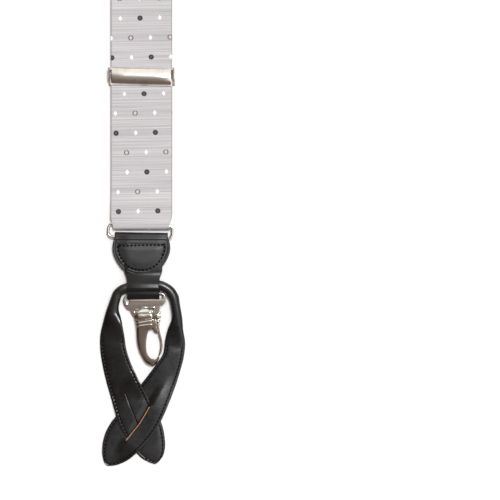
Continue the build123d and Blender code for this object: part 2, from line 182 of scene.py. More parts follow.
def settle(piece, body, slot, *replaced):
    """Give a rigid piece its body and hide the CAD nodes that it stands for; the slot is not used."""
    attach(piece, body)
    if replaced:
        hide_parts(*replaced)


def curve_through(points, steps):
    """Catmull-Rom points through rows of numbers."""
    rows = np.array(points, float)
    padded = np.vstack([2 * rows[0] - rows[1], rows, 2 * rows[-1] - rows[-2]])
    out = []
    for i in range(len(rows) - 1):
        p0, p1, p2, p3 = padded[i:i + 4]
        for k in range(steps):
            t = k / steps
            out.append(0.5 * (2 * p1 + (p2 - p0) * t + (2 * p0 - 5 * p1 + 4 * p2 - p3) * t * t
                              + (3 * p1 - p0 - 3 * p2 + p3) * t ** 3))
    out.append(rows[-1])
    return np.array(out)


def superellipse(half_width, half_height, power, count):
    """Points round a section, flat-sided as the power grows."""
    points = []
    for k in range(count):
        a = 2 * math.pi * k / count
        c, s = math.cos(a), math.sin(a)
        x = half_width * math.copysign(abs(c) ** (2 / power), c)
        z = half_height * math.copysign(abs(s) ** (2 / power), s)
        points.append((x, z))
    return points


def rounded_rectangle(half_width, half_height, radius, corner_steps=4):
    """Points round a section with true round corners."""
    points = []
    corners = ((1, 1, 0), (-1, 1, 90), (-1, -1, 180), (1, -1, 270))
    for sx, sz, start in corners:
        for k in range(corner_steps + 1):
            a = math.radians(start + 90 * k / corner_steps)
            x = sx * (half_width - radius) + radius * math.cos(a)
            z = sz * (half_height - radius) + radius * math.sin(a)
            points.append((x, z))
    return points


# ---- materials

class Nodes:
    """Short calls that add and link shader nodes."""

    def __init__(self, name):
        self.mat = bpy.data.materials.new(name)
        self.mat.use_nodes = True
        self.tree = self.mat.node_tree
        self.shader = self.tree.nodes["Principled BSDF"]

    def add(self, kind, inputs=None, **settings):
        node = self.tree.nodes.new(kind)
        for key, value in settings.items():
            setattr(node, key, value)
        for key, value in (inputs or {}).items():
            self.feed(node.inputs[key], value)
        return node

    def feed(self, socket, value):
        if isinstance(value, bpy.types.NodeSocket):
            self.tree.links.new(value, socket)
        else:
            socket.default_value = value

    def math(self, operation, a, b=0.0, c=0.0):
        node = self.add("ShaderNodeMath", operation=operation)
        for socket, value in zip(node.inputs, (a, b, c)):
            self.feed(socket, value)
        return node.outputs[0]

    def plus(self, a, b):
        return self.math("ADD", a, b)

    def minus(self, a, b):
        return self.math("SUBTRACT", a, b)

    def times(self, a, b):
        return self.math("MULTIPLY", a, b)

    def ramp(self, value, low, high, to_low=0.0, to_high=1.0):
        node = self.add("ShaderNodeMapRange", {"Value": value, "From Min": low, "From Max": high,
                                               "To Min": to_low, "To Max": to_high})
        node.interpolation_type = "SMOOTHSTEP"
        return node.outputs["Result"]

    def mix(self, factor, a, b):
        node = self.add("ShaderNodeMix", data_type="RGBA")
        self.feed(node.inputs["Factor"], factor)
        for socket, value in ((node.inputs[6], a), (node.inputs[7], b)):
            self.feed(socket, value if isinstance(value, bpy.types.NodeSocket) else (*value, 1.0))
        return node.outputs[2]

    def noise(self, vector, scale, detail=3.0, rough=0.5):
        inputs = {"Vector": vector, "Scale": scale, "Detail": detail, "Roughness": rough}
        node = self.add("ShaderNodeTexNoise", inputs)
        return node.outputs["Fac"]

    def stretch(self, vector, scale):
        node = self.add("ShaderNodeVectorMath", operation="MULTIPLY")
        self.feed(node.inputs[0], vector)
        node.inputs[1].default_value = scale
        return node.outputs[0]

    def place(self):
        return self.add("ShaderNodeTexCoord").outputs["Object"]

    def strip(self):
        """Millimetres across and along a strap."""
        uv = self.add("ShaderNodeUVMap", uv_map="strip").outputs["UV"]
        parts = self.add("ShaderNodeSeparateXYZ", {"Vector": uv})
        u = self.times(parts.outputs["X"], UV_MM)
        v = self.times(parts.outputs["Y"], UV_MM)
        return u, v

    def point(self, x, y, z=0.0):
        return self.add("ShaderNodeCombineXYZ", {"X": x, "Y": y, "Z": z}).outputs[0]

    def bump(self, height, strength, distance):
        node = self.add("ShaderNodeBump", {"Height": height, "Strength": strength, "Distance": distance})
        self.feed(self.shader.inputs["Normal"], node.outputs[0])

    def finish(self, **sockets):
        for name, value in sockets.items():
            self.feed(self.shader.inputs[name.replace("_", " ")], value)
        return self.mat


UV_MM = 100.0               # strap UVs are in units of 100 mm
DOT_PITCH = 11.2
DOT_U0 = -9.6
DOT_V0 = 212.6
DOT_R = 1.5
DOT_SKEW = math.radians(1.9)
WEAVE = 0.62


def weave_height(n, u, v, pitch):
    """Diamond lattice of a bird's-eye weave."""
    a = n.math("SINE", n.times(n.plus(u, v), 2 * math.pi / pitch))
    b = n.math("SINE", n.times(n.minus(u, v), 2 * math.pi / pitch))
    return n.times(a, b)


def dot_masks(n, u, v):
    """Masks of the white diamonds, the dark discs, and the open rings with their pale middles."""
    row = n.math("DIVIDE", n.minus(v, DOT_V0), DOT_PITCH)
    i = n.math("ROUND", row)
    dv = n.math("ABSOLUTE", n.times(n.minus(row, i), DOT_PITCH))
    pair = n.math("FLOOR", n.times(i, 0.5))
    step = n.times(n.math("FLOORED_MODULO", pair, 2.0), 0.5)
    column = n.minus(n.math("DIVIDE", n.minus(u, DOT_U0), DOT_PITCH), step)
    j = n.math("ROUND", column)
    du = n.math("ABSOLUTE", n.times(n.minus(column, j), DOT_PITCH))
    odd_row = n.math("FLOORED_MODULO", i, 2.0)
    odd_column = n.math("FLOORED_MODULO", j, 2.0)
    white = n.minus(1.0, n.math("ABSOLUTE", n.minus(odd_row, odd_column)))
    dark = n.times(n.minus(1.0, odd_row), odd_column)
    ringed = n.times(odd_row, n.minus(1.0, odd_column))
    r = n.math("SQRT", n.plus(n.times(du, du), n.times(dv, dv)))
    drop = n.plus(n.times(du, 1.22), n.times(dv, 0.86))
    white = n.times(white, n.ramp(drop, 1.2, 1.4, 1.0, 0.0))
    disc = n.ramp(r, DOT_R - 0.12, DOT_R + 0.12, 1.0, 0.0)
    centre = n.times(ringed, n.ramp(r, 0.8, 1.05, 1.0, 0.0))
    rim = n.times(n.times(ringed, disc), n.ramp(r, 0.8, 1.05))
    rim = n.times(rim, n.ramp(du, 0.10, 0.55, 0.35, 1.0))
    return white, n.times(dark, disc), rim, centre, r


def webbing_material(name, dots):
    """Silver-grey bird's-eye webbing with fine slub lines, painted shade in the weave's hollows and along both
    edges, and on its face small woven dots.
    """
    n = Nodes(name)
    u, v = n.strip()
    # the pattern sits a little askew and steps slightly where the webbing passes the adjuster
    above = n.ramp(v, 205.0, 237.0)
    skew_v = n.plus(n.plus(v, n.times(u, -math.sin(DOT_SKEW) * 0.6)),
                    n.times(above, 1.9))
    skew_u = n.plus(n.plus(u, n.times(n.minus(v, DOT_V0), math.sin(DOT_SKEW))),
                    n.times(above, 1.0))
    weave = weave_height(n, u, skew_v, WEAVE)
    broad = n.noise(n.point(n.times(u, 0.004), n.times(skew_v, 0.16)), 1.0, 1.0)
    slub = n.noise(n.point(n.times(u, 0.006), n.times(skew_v, 1.05), 7.0), 1.0, 2.0)
    pick = n.noise(n.point(n.times(u, 0.020), n.times(skew_v, 2.7), 3.0), 1.0, 1.0)
    fleck = n.noise(n.point(n.times(u, 2.2), n.times(skew_v, 3.2), 11.0), 1.0, 2.0)
    tone = n.plus(n.times(broad, 0.17), n.times(slub, 0.31))
    tone = n.plus(tone, n.times(pick, 0.27))
    tone = n.plus(tone, n.times(fleck, 0.25))
    cloth = n.mix(n.ramp(tone, 0.38, 0.60), (0.405, 0.396, 0.412), (0.700, 0.700, 0.716))
    # The weave's low points are painted a darker grey: painted shade in its hollows.
    cloth = n.mix(n.ramp(weave, -0.9, 0.5, 0.55, 0.0), cloth, (0.36, 0.335, 0.345))
    # Both edges are painted a darker purplish grey: painted shade along the rims.
    cloth = n.mix(n.ramp(n.math("ABSOLUTE", u), 16.6, 17.1, 0.0, 0.65), cloth, (0.33, 0.30, 0.30))
    height = n.plus(n.times(weave, 0.6), n.times(slub, 0.9))
    if dots:
        white, dark, rim, centre, r = dot_masks(n, skew_u, skew_v)
        cloth = n.mix(white, cloth, (0.98, 0.98, 0.98))
        cloth = n.mix(centre, cloth, (0.60, 0.565, 0.575))
        cloth = n.mix(rim, cloth, (0.135, 0.11, 0.115))
        cloth = n.mix(dark, cloth, n.mix(n.ramp(r, 0.2, 1.1), (0.11, 0.10, 0.105), (0.04, 0.035, 0.038)))
        raised = n.plus(white, n.plus(dark, rim))
        height = n.plus(height, n.times(raised, 0.9))
    n.bump(height, 0.5, 0.00012)
    return n.finish(Base_Color=cloth, Roughness=0.82, Sheen_Weight=0.12, Sheen_Roughness=0.5,
                    Specular_IOR_Level=0.25)


def elastic_material():
    """Ribbed elastic webbing."""
    n = Nodes("elastic_webbing")
    u, v = n.strip()
    rib = n.math("SINE", n.times(u, 2 * math.pi / 1.45))
    pick = n.math("SINE", n.times(v, 2 * math.pi / 0.62))
    slub = n.noise(n.point(n.times(u, 0.3), n.times(v, 1.4)), 1.0, 3.0)
    cloth = n.mix(n.ramp(rib, -1.0, 0.6), (0.36, 0.345, 0.352), (0.62, 0.60, 0.605))
    cloth = n.mix(n.ramp(slub, 0.35, 0.65, 0.0, 0.3), cloth, (0.70, 0.68, 0.685))
    height = n.plus(rib, n.times(pick, 0.45))
    n.bump(height, 0.6, 0.00014)
    return n.finish(Base_Color=cloth, Roughness=0.85, Sheen_Weight=0.1, Specular_IOR_Level=0.2)


def leather_material(name, dark, light, rough, grain, shine):
    """Dyed leather with fine pores, soft creases and worn, lighter high spots."""
    n = Nodes(name)
    at = n.place()
    cells = n.add("ShaderNodeTexVoronoi", {"Vector": at, "Scale": 1900.0}, feature="SMOOTH_F1")
    pores = cells.outputs["Distance"]
    wrinkle = n.noise(at, 420.0, 4.0, 0.6)
    cloud = n.noise(at, 70.0, 3.0)
    tone = n.plus(n.times(cloud, 0.7), n.times(wrinkle, 0.3))
    colour = n.mix(n.ramp(tone, 0.35, 0.68), dark, light)
    sheen = n.ramp(n.plus(n.times(wrinkle, 0.5), n.times(cloud, 0.5)), 0.3, 0.7,
                   rough - 0.04, rough + 0.05)
    height = n.plus(n.times(pores, 0.6), n.times(wrinkle, 1.0))
    n.bump(height, grain, 0.00010)
    return n.finish(Base_Color=colour, Roughness=sheen, Specular_IOR_Level=shine)


def thread_material():
    """Black polyester thread with a fine twist."""
    n = Nodes("stitch_thread")
    at = n.place()
    twist = n.noise(at, 3200.0, 2.0)
    colour = n.mix(n.ramp(twist, 0.3, 0.7), (0.001, 0.001, 0.001), (0.005, 0.0045, 0.005))
    n.bump(twist, 0.5, 0.00005)
    return n.finish(Base_Color=colour, Roughness=0.70, Specular_IOR_Level=0.06)


def raw_edge_material():
    """The tan cut edge of the leather."""
    n = Nodes("leather_cut_edge")
    at = n.place()
    fibre = n.noise(n.stretch(at, (1.0, 1.0, 4.0)), 900.0, 4.0, 0.65)
    colour = n.mix(n.ramp(fibre, 0.3, 0.7), (0.30, 0.135, 0.055), (0.56, 0.30, 0.14))
    n.bump(fibre, 0.5, 0.00015)
    return n.finish(Base_Color=colour, Roughness=0.8)


def nickel_material(name, tint, rough, brushed=0.0):
    """Polished nickel plate: faint haze, wipe marks and warmer, duller spots."""
    n = Nodes(name)
    at = n.place()
    haze = n.noise(at, 160.0, 3.0)
    wipe = n.noise(n.stretch(at, (1.0, 0.12, 1.0)), 2600.0, 2.0)
    dull = tuple(c * 0.82 for c in tint)
    colour = n.mix(n.ramp(haze, 0.42, 0.75), tint, dull)
    gloss = n.ramp(n.plus(n.times(haze, 0.7), n.times(wipe, 0.3)), 0.3, 0.75,
                   rough, rough + 0.07)
    n.bump(wipe, 0.05 + brushed, 0.00002)
    return n.finish(Base_Color=colour, Roughness=gloss, Metallic=1.0)


WEBBING = webbing_material("webbing_face", True)
WEBBING_BACK = webbing_material("webbing_back", False)
ELASTIC = elastic_material()
LEATHER_TAB = leather_material("tab_leather", (0.006, 0.006, 0.006), (0.017, 0.017, 0.018),
                               rough=0.42, grain=0.40, shine=0.40)
LEATHER_NECK = leather_material("neck_leather", (0.005, 0.005, 0.005), (0.012, 0.012, 0.0125),
                               rough=0.32, grain=0.60, shine=0.27)
LEATHER_LOOP = leather_material("loop_leather", (0.0045, 0.0045, 0.005), (0.011, 0.0105, 0.0115),
                               rough=0.27, grain=0.20, shine=0.50)
THREAD = thread_material()
RAW_EDGE = raw_edge_material()
NICKEL = nickel_material("polished_nickel", (0.80, 0.765, 0.715), 0.09)
NICKEL_COVER = nickel_material("cover_nickel", (0.84, 0.80, 0.76), 0.17)
NICKEL_CAST = nickel_material("cast_nickel", (0.66, 0.61, 0.545), 0.12, 0.06)
# The hook and gate get a dark brown nickel tint: painted dark, warm reflections.
NICKEL_HOOK_PAINTED_DARK = nickel_material("hook_nickel_painted_reflection", (0.40, 0.335, 0.285), 0.14, 0.06)
STEEL = nickel_material("spring_steel", (0.62, 0.60, 0.58), 0.24, 0.1)


# ---- webbing

def strap_surface(place, stations, half_at, across):
    """Grids for a strap: place(u, s) gives a point in metres, stations are distances along it."""
    step = 0.4
    mids, ups, uvs = [], [], []
    for s in stations:
        row, up_row, uv_row = [], [], []
        for a in across:
            u = a * half_at(s)
            p = place(u, s)
            along = place(u, s + step) - place(u, s - step)
            side = place(u + step, s) - place(u - step, s)
            row.append(p)
            up_row.append(side.cross(along).normalized())
            uv_row.append((u / UV_MM, s / UV_MM))
        mids.append(row)
        ups.append(up_row)
        uvs += uv_row
    return mids, ups, uvs


RIM_SHARE = 0.72            # the selvage's thickness as a share of the webbing's
ACROSS = [-1, -0.985, -0.95] + [k / 8 for k in range(-7, 8)] + [0.95, 0.985, 1]


def make_strap(name, place, stations, half_at, thick, looks):
    """A closed strap mesh whose rim is a little thinner than its body, like a selvage."""
    mids, ups, uvs = strap_surface(place, stations, half_at, ACROSS)
    top, bottom = [], []
    for row_mid, row_up in zip(mids, ups):
        swell = [thick / 2 * (RIM_SHARE if abs(a) == 1 else 1.0) * MM for a in ACROSS]
        top.append([m + w * h for m, w, h in zip(row_mid, row_up, swell)])
        bottom.append([m - w * h for m, w, h in zip(row_mid, row_up, swell)])
    build = Builder()
    build.slab(top, bottom, 1)
    return build.make(name, looks, uvs + uvs)


def front_height(v):
    """Middle of the webbing's thickness along the front leg, below the shoulder ramp."""
    drop = smooth((v - FOLD_Y) / 22)
    return RING_Z + FOLD_R + (STRAP_Z + STRAP_THICK / 2 - RING_Z - FOLD_R) * drop


def shoulder_place(end, side):
    """place(u, s) for a whole strap, s counted as v along the front leg and on round the shoulder."""
    fold_low, fold_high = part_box(f"shoulder_fold_{end.name}")
    crease_y = ((fold_low.y + fold_high.y) / 2 - end.y) / MM - SHOULDER_R / 2
    half_turn = math.pi * SHOULDER_R
    c = Vector((math.cos(CREASE), -side * math.sin(CREASE)))
    n = Vector((side * math.sin(CREASE), math.cos(CREASE)))
    leg_end = (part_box("yoke_over")[1].y - end.y) / MM

    def back_height(distance_y):
        near = smooth((leg_end + 34 - distance_y) / 40)
        return 0.62 + 1.2 * near

    def place(u, s):
        if s < FOLD_Y:
            turn = (FOLD_Y - s) / FOLD_R
            if turn < math.pi:
                return end.at(u, FOLD_Y - FOLD_R * math.sin(turn), RING_Z + FOLD_R * math.cos(turn))
            return end.at(u, FOLD_Y + FOLD_R * (turn - math.pi), TAIL_Z + STRAP_THICK / 2)
        flat = Vector((u, s - crease_y))
        along, over = flat.dot(c), flat.dot(n)
        if over <= 0:
            z = front_height(s) + (2 * SHOULDER_R - STRAP_Z) * smooth(1 + over / RAMP)
            return end.at(u, s, z)
        if over < half_turn:
            p = c * along + n * (SHOULDER_R * math.sin(over / SHOULDER_R))
            z = 0.6 + SHOULDER_R + SHOULDER_R * math.cos(over / SHOULDER_R)
        else:
            p = c * along - n * (over - half_turn)
            z = back_height(crease_y + p.y)
        return end.at(p.x, crease_y + p.y, z)

    return place, crease_y


def strap_half(s):
    """Half the webbing's width, which is drawn in a little where it turns round the ring."""
    return STRAP_HALF - DRAWN_IN * (1 - smooth((s - FOLD_Y + 1) / 6))


def front_strap(end, side):
    """One length of webbing, from the yoke over the shoulder and down to the ring."""
    place, crease_y = shoulder_place(end, side)
    low_fold = FOLD_Y - math.pi * FOLD_R
    leg_y = (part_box("yoke_over")[1].y - end.y) / MM
    reach = crease_y + math.pi * SHOULDER_R + (crease_y - leg_y + 8) / math.cos(BACK_ANGLE)
    stations = [low_fold - 7]
    stations += [low_fold + math.pi * FOLD_R * k / 14 for k in range(15)]
    stations += list(np.arange(FOLD_Y + 1.5, crease_y - 20, 3.0))
    stations += list(np.arange(crease_y - 19.0, crease_y + 34, 0.9))
    stations += list(np.arange(crease_y + 35, reach, 3.5))
    strap = make_strap(f"strap_webbing_{end.name}", place, stations, strap_half, STRAP_THICK,
                       (WEBBING, WEBBING_BACK))
    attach(strap, "webbing")
    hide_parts(f"front_strap_{end.name}", f"shoulder_fold_{end.name}", f"back_leg_{end.name}")


def strap_tail(end):
    """The doubled-back end of the webbing, which stretches between the ring and the adjuster."""
    start_v = FOLD_Y + 6.5
    end_v = (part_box(f"adjuster_frame_{end.name}")[0].y - end.y) / MM + 0.6
    stations = list(np.linspace(start_v, end_v, 26))

    def place(u, s):
        return end.at(-u, s, TAIL_Z + STRAP_THICK / 2)

    tail = make_strap(f"strap_tail_webbing_{end.name}", place, stations, lambda s: STRAP_HALF,
                      STRAP_THICK - 0.04, (WEBBING, WEBBING_BACK))
    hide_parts(f"strap_tail_{end.name}")
    end.at(0, start_v + 1, 0.8)
    end.at(0, end_v, 0.8)
    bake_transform(tail)


SEWN_BACK = 36.0            # length of the elastic's end that is turned back and sewn


def back_strap():
    """Elastic centre strap with its end turned round the ring and sewn down."""
    end = BACK
    yoke_low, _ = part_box("yoke_over")
    top_v = (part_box("back_strap")[1].y - end.y) / MM
    rise_v = (yoke_low.y - end.y) / MM
    half_turn = math.pi * FOLD_R

    def place(u, s):
        if s < 0:
            v = FOLD_Y - s
            z = 2.0 + (RING_Z + FOLD_R - 2.0) * (1 - smooth((v - FOLD_Y) / 16))
            return end.at(-u, v, z)
        if s < half_turn:
            turn = s / FOLD_R
            return end.at(-u, FOLD_Y - FOLD_R * math.sin(turn), RING_Z + FOLD_R * math.cos(turn))
        v = FOLD_Y + s - half_turn
        return end.at(-u, v, 0.8 + smooth((v - rise_v + 30) / 30))

    def half_at(s):
        return STRAP_HALF - DRAWN_IN * (1 - smooth((abs(s - half_turn / 2) - 3.2) / 7))

    stations = [-SEWN_BACK + k * SEWN_BACK / 14 for k in range(14)]
    stations += [half_turn * k / 12 for k in range(13)]
    stations += list(np.arange(half_turn + 2, half_turn + top_v - FOLD_Y, 3.0))
    strap = make_strap("back_elastic", place, stations, half_at, STRAP_THICK, (ELASTIC, ELASTIC))
    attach(strap, "webbing")
    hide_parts("back_strap")


# ---- stitching

def stitches(build, points, ups, pitch=STITCH_PITCH, length=1.45, radius=0.27):
    """Sunk thread stitches at an even pitch along a line of points in metres."""
    points = [Vector(p) for p in points]
    spans = [(b - a).length for a, b in zip(points, points[1:])]
    total = sum(spans)
    count = max(1, int(round(total / (pitch * MM))))
    for k in range(count):
        target = (k + 0.5) * total / count
        i = 0
        while i < len(spans) - 1 and target > spans[i]:
            target -= spans[i]
            i += 1
        t = min(1.0, target / max(spans[i], 1e-9))
        centre = points[i].lerp(points[i + 1], t)
        along = (points[i + 1] - points[i]).normalized()
        up = Vector(ups[i]).normalized()
        side = along.cross(up).normalized()
        rings = []
        for f in (-1.0, -0.86, -0.5, 0.0, 0.5, 0.86, 1.0):
            r = radius * math.sqrt(max(0.02, 1 - f ** 4)) * MM
            lift = 0.10 * (1 - f * f) * MM
            middle = centre + along * (f * length / 2 * MM) + up * lift
            rings.append([middle + side * (r * math.cos(a)) + up * (r * 0.75 * math.sin(a))
                          for a in [2 * math.pi * q / 8 for q in range(8)]])
        build.rings(rings)


# ---- leather tab

PATCH_MID = 2.6
PATCH_SEAM = 3.1            # from the patch's edge in to its stitches
PATCH_TOP_V = 133.2
PATCH_FOLD_V = 130.6
NECK_U = 1.1


def patch_outline(count=120):
    """Closed D outline, from the top right corner round by the bottom."""
    right = [(15.0, 133.2), (15.1, 130.6), (15.9, 128.4), (16.35, 125.4), (16.2, 122.6), (15.2, 119.4),
             (13.4, 116.0), (10.6, 112.6), (6.9, 110.2), (3.4, 109.1), (0.1, 108.8)]
    left = [(-u, v) for u, v in reversed(right[:-1])]
    left = [(u - 0.1, v + 0.45 if v > 132 else v) for u, v in left]
    sides = [tuple(p) for p in curve_through(right + left, 9)]
    first, last = sides[0], sides[-1]
    top = [(last[0] + (first[0] - last[0]) * k / 24, last[1] + (first[1] - last[1]) * k / 24)
           for k in range(1, 24)]
    return sides + top


def inset(points, distance):
    """The outline moved inwards by a distance."""
    pts = np.array(points, float)
    before = np.roll(pts, 1, axis=0)
    after = np.roll(pts, -1, axis=0)
    tangent = after - before
    tangent /= np.linalg.norm(tangent, axis=1)[:, None]
    normal = np.stack([tangent[:, 1], -tangent[:, 0]], axis=1)
    area = 0.5 * np.sum(pts[:, 0] * after[:, 1] - after[:, 0] * pts[:, 1])
    sign = -1 if area > 0 else 1
    return pts + normal * distance * sign


def patch_top(u, v, inward):
    """Height of the patch's front face."""
    over_neck = smooth((15.5 - abs(u - NECK_U)) / 8.0)
    face = 4.20 + 0.55 * over_neck * smooth((v - 107) / 4)
    puff = smooth((inward - 3.2) / 4.5) * smooth((126.4 - v) / 3.0)
    face += 0.36 * puff
    face -= 0.26 * math.exp(-((inward - 1.35) / 0.24) ** 2) * (1 if v < 129 else 0)
    face -= 0.20 * math.exp(-((v - 128.9) / 0.34) ** 2) + 0.14 * math.exp(-((v - 130.6) / 0.30) ** 2)
    face -= 0.30 * math.exp(-((inward - 3.15) / 0.42) ** 2) * (1 if v < 127 else 0)
    face -= 0.22 * math.exp(-((v - 126.0) / 0.42) ** 2) * (1 if inward > 3 else 0)
    if v > PATCH_FOLD_V:
        t = min(1.0, (v - PATCH_FOLD_V) / (PATCH_TOP_V - PATCH_FOLD_V + 0.2))
        face = PATCH_MID + (face - PATCH_MID) * math.sqrt(max(0.0, 1 - t * t))
    edge = min(1.0, inward / 0.6)
    return PATCH_MID + (face - PATCH_MID) * (0.55 + 0.45 * math.sqrt(edge * (2 - edge)))


def distance_in(points, u, v):
    """Shortest distance from a place to the outline's points."""
    gaps = np.hypot(points[:, 0] - u, points[:, 1] - v)
    return float(gaps.min())


SHARES = [1.0, 0.993, 0.982, 0.965]
SHARES += [0.945 - 0.0165 * k for k in range(22)]
SHARES += [0.55, 0.47, 0.38, 0.28, 0.18, 0.08]


def relief(end, outline, centre, top_at, bottom_at):
    """A closed leather piece: rings shrinking towards a centre on both faces, joined round the edge."""
    points = np.array(outline, float)
    fine = np.vstack([points, (points + np.roll(points, -1, axis=0)) / 2])
    middle = np.array(centre, float)
    rings_top, rings_low = [], []
    for share in SHARES:
        ring = middle + (points - middle) * share
        depths = [0.0 if share == 1.0 else distance_in(fine, u, v) for u, v in ring]
        rings_top.append([end.at(u, v, top_at(u, v, d)) for (u, v), d in zip(ring, depths)])
        rings_low.append([end.at(u, v, bottom_at(u, v, d)) for (u, v), d in zip(ring, depths)])
    build = Builder()
    build.rings(list(reversed(rings_top)) + rings_low)
    return build


def patch(end):
    """The D-shaped patch and the stitching round it, the same on both faces."""
    outline = patch_outline()
    build = relief(end, outline, (0.2, 121.5), patch_top,
                   lambda u, v, d: 2 * PATCH_MID - patch_top(u, v, d))
    piece = build.make(f"tab_patch_{end.name}", (LEATHER_TAB,))
    settle(piece, f"tab_{end.name}", "black_leather", f"patch_{end.name}")
    seam = Builder()
    ring = inset(outline, PATCH_SEAM)
    curve = [(u, v) for u, v in ring if v < 126.2]
    top_v = 126.0
    first, final = curve[0], curve[-1]
    line = [(first[0] + (final[0] - first[0]) * k / 12, top_v + 0.4 * (1 - 2 * k / 12)) for k in range(13)]
    for face in (1, -1):
        for route in (curve, line):
            pts = []
            for u, v in route:
                z = patch_top(u, v, PATCH_SEAM) + 0.22
                pts.append(end.at(u, v, z if face > 0 else 2 * PATCH_MID - z))
            stitches(seam, pts, [Vector((0, 0, face))] * len(pts), length=1.5, radius=0.55)
    thread = seam.make(f"tab_stitching_{end.name}", (THREAD,))
    settle(thread, f"tab_{end.name}", "black_leather")


NECK_PATH = [(122.0, 4.2), (113.0, 4.1), (111.0, 4.0), (109.6, 4.1), (108.2, 4.55), (106.6, 5.25), (105.4, 5.85),
             (104.5, 6.3), (103.7, 6.60), (102.7, 6.73), (101.8, 6.80), (101.1, 6.5), (100.5, 5.6), (100.0, 4.95),
             (99.2, 4.85), (98.2, 4.75), (97.0, 4.2), (95.9, 3.2), (95.65, 2.3), (96.2, 1.3),
             (97.6, 0.72), (100.0, 0.66), (104.0, 0.66), (108.0, 0.80), (112.0, 1.2), (122.0, 1.2)]


def neck(end):
    """Leather strip over the button loop and round the snap's eye, then back up inside the patch."""
    path = curve_through(NECK_PATH, 7)
    rings = []
    for k, (v, z) in enumerate(path):
        a = path[max(0, k - 1)]
        b = path[min(len(path) - 1, k + 1)]
        along = Vector((b[0] - a[0], b[1] - a[1])).normalized()
        normal = Vector((along.y, -along.x))
        half = 9.1 + 1.6 * smooth((v - 106) / 6)
        ring = []
        for x, t in rounded_rectangle(half, LEATHER / 2, 0.34, 3):
            ring.append(end.at(NECK_U + x, v + normal.x * t, z + normal.y * t))
        rings.append(ring)
    build = Builder()
    build.rings(rings)
    piece = build.make(f"neck_strip_{end.name}", (LEATHER_NECK,))
    settle(piece, f"tab_{end.name}", "black_leather", f"neck_{end.name}")


# ---- button loop

# Each row: edge on the arm's outer side (u, v), edge on its inner side (u, v),
# middle height, thickness, roundness
RIGHT_ARM = [
    (21.9, 93.2, 16.3, 93.8, 3.6, 4.6, 2.1),
    (23.3, 84.5, 17.3, 85.0, 3.1, 4.2, 2.2),
    (23.8, 77.6, 14.9, 78.2, 2.3, 3.4, 2.6),
    (24.8, 70.6, 13.3, 71.6, 1.7, 2.7, 3.4),
    (24.2, 63.2, 12.2, 64.4, 1.5, 2.4, 4.5),
    (22.5, 56.1, 8.2, 58.2, 1.5, 2.3, 5.0),
    (19.7, 47.0, 2.6, 50.6, 1.5, 2.3, 5.0),
    (16.2, 37.6, -3.5, 43.0, 1.5, 2.3, 5.0),
    (12.4, 28.6, -8.8, 36.4, 1.5, 2.3, 5.0),
    (8.0, 20.4, -13.1, 30.6, 1.5, 2.3, 5.0),
    (2.7, 13.6, -17.4, 25.2, 1.5, 2.3, 5.0),
    (-3.0, 7.6, -20.6, 19.4, 1.5, 2.3, 5.0),
    (-8.0, 3.5, -22.3, 13.2, 1.5, 2.3, 5.0),
    (-13.4, 1.0, -22.6, 7.6, 1.5, 2.3, 5.0),
    (-17.6, 0.25, -22.0, 3.9, 1.5, 2.1, 4.0),
    (-19.3, 0.25, -21.2, 1.9, 1.5, 1.6, 3.0),
]
LEFT_ARM = [
    (-17.6, 96.0, -11.6, 96.4, 3.6, 4.6, 2.1),
    (-20.2, 88.6, -12.9, 90.0, 3.1, 4.2, 2.2),
    (-22.0, 82.2, -11.2, 83.4, 2.4, 3.4, 2.6),
    (-23.7, 74.6, -9.6, 74.4, 1.8, 2.7, 3.4),
    (-23.7, 66.4, -8.5, 67.0, 1.5, 2.4, 4.5),
    (-22.3, 57.3, -6.0, 59.2, 1.5, 2.3, 5.0),
    (-20.3, 48.7, -2.5, 51.8, 1.5, 2.3, 5.0),
    (-18.1, 40.8, 1.1, 44.6, 1.5, 2.3, 5.0),
    (-15.6, 32.6, 5.0, 37.0, 1.5, 2.3, 5.0),
    (-12.6, 24.0, 8.8, 30.0, 1.5, 2.3, 5.0),
    (-8.3, 15.6, 11.7, 23.4, 1.5, 2.3, 5.0),
    (-4.4, 9.4, 13.1, 16.8, 1.5, 2.3, 5.0),
    (-0.4, 4.9, 13.4, 11.0, 1.5, 2.3, 5.0),
    (3.6, 2.6, 12.4, 6.4, 1.5, 2.3, 5.0),
    (6.2, 1.6, 10.6, 3.6, 1.5, 2.1, 4.0),
    (7.6, 1.3, 9.6, 2.4, 1.5, 1.6, 3.0),
]
ARCH = [
    (21.9, 93.2, 16.3, 93.8, 3.6, 4.6, 2.1),
    (21.2, 97.4, 15.6, 95.6, 3.7, 4.6, 2.1),
    (18.9, 101.4, 14.2, 98.0, 3.8, 4.6, 2.1),
    (15.4, 104.2, 12.4, 99.6, 3.9, 4.6, 2.1),
    (10.9, 106.0, 9.8, 100.5, 3.9, 4.6, 2.1),
    (4.0, 106.0, 4.2, 100.4, 3.8, 4.5, 2.1),
    (-4.0, 105.4, -3.4, 99.9, 3.8, 4.5, 2.1),
    (-9.4, 104.4, -7.8, 99.2, 3.9, 4.6, 2.1),
    (-13.2, 102.6, -9.8, 98.6, 3.9, 4.6, 2.1),
    (-16.0, 99.8, -11.0, 97.6, 3.7, 4.6, 2.1),
    (-17.6, 96.0, -11.6, 96.4, 3.6, 4.6, 2.1),
]
SLIT_A, SLIT_B = Vector((5.6, 35.2)), Vector((-8.3, 14.2))
SLIT_DIR = (SLIT_B - SLIT_A).normalized()
RIGHT_SLIT = (7.7, 10.7)    # rows of each arm between which it is slit
LEFT_SLIT = (7.2, 10.8)
RIGHT_SPLIT = 0.42          # share of an arm's width at which it is slit
LEFT_SPLIT = 0.45
FLAT_THICK = 1.55
LIFT = 1.75
CROWN = 0.32                # the pressed arms stay slightly full along their middle
SEAM_INSET = 1.65           # from an arm's edge in to its stitches, which lie in a channel
SEAM_DEPTH = 0.24


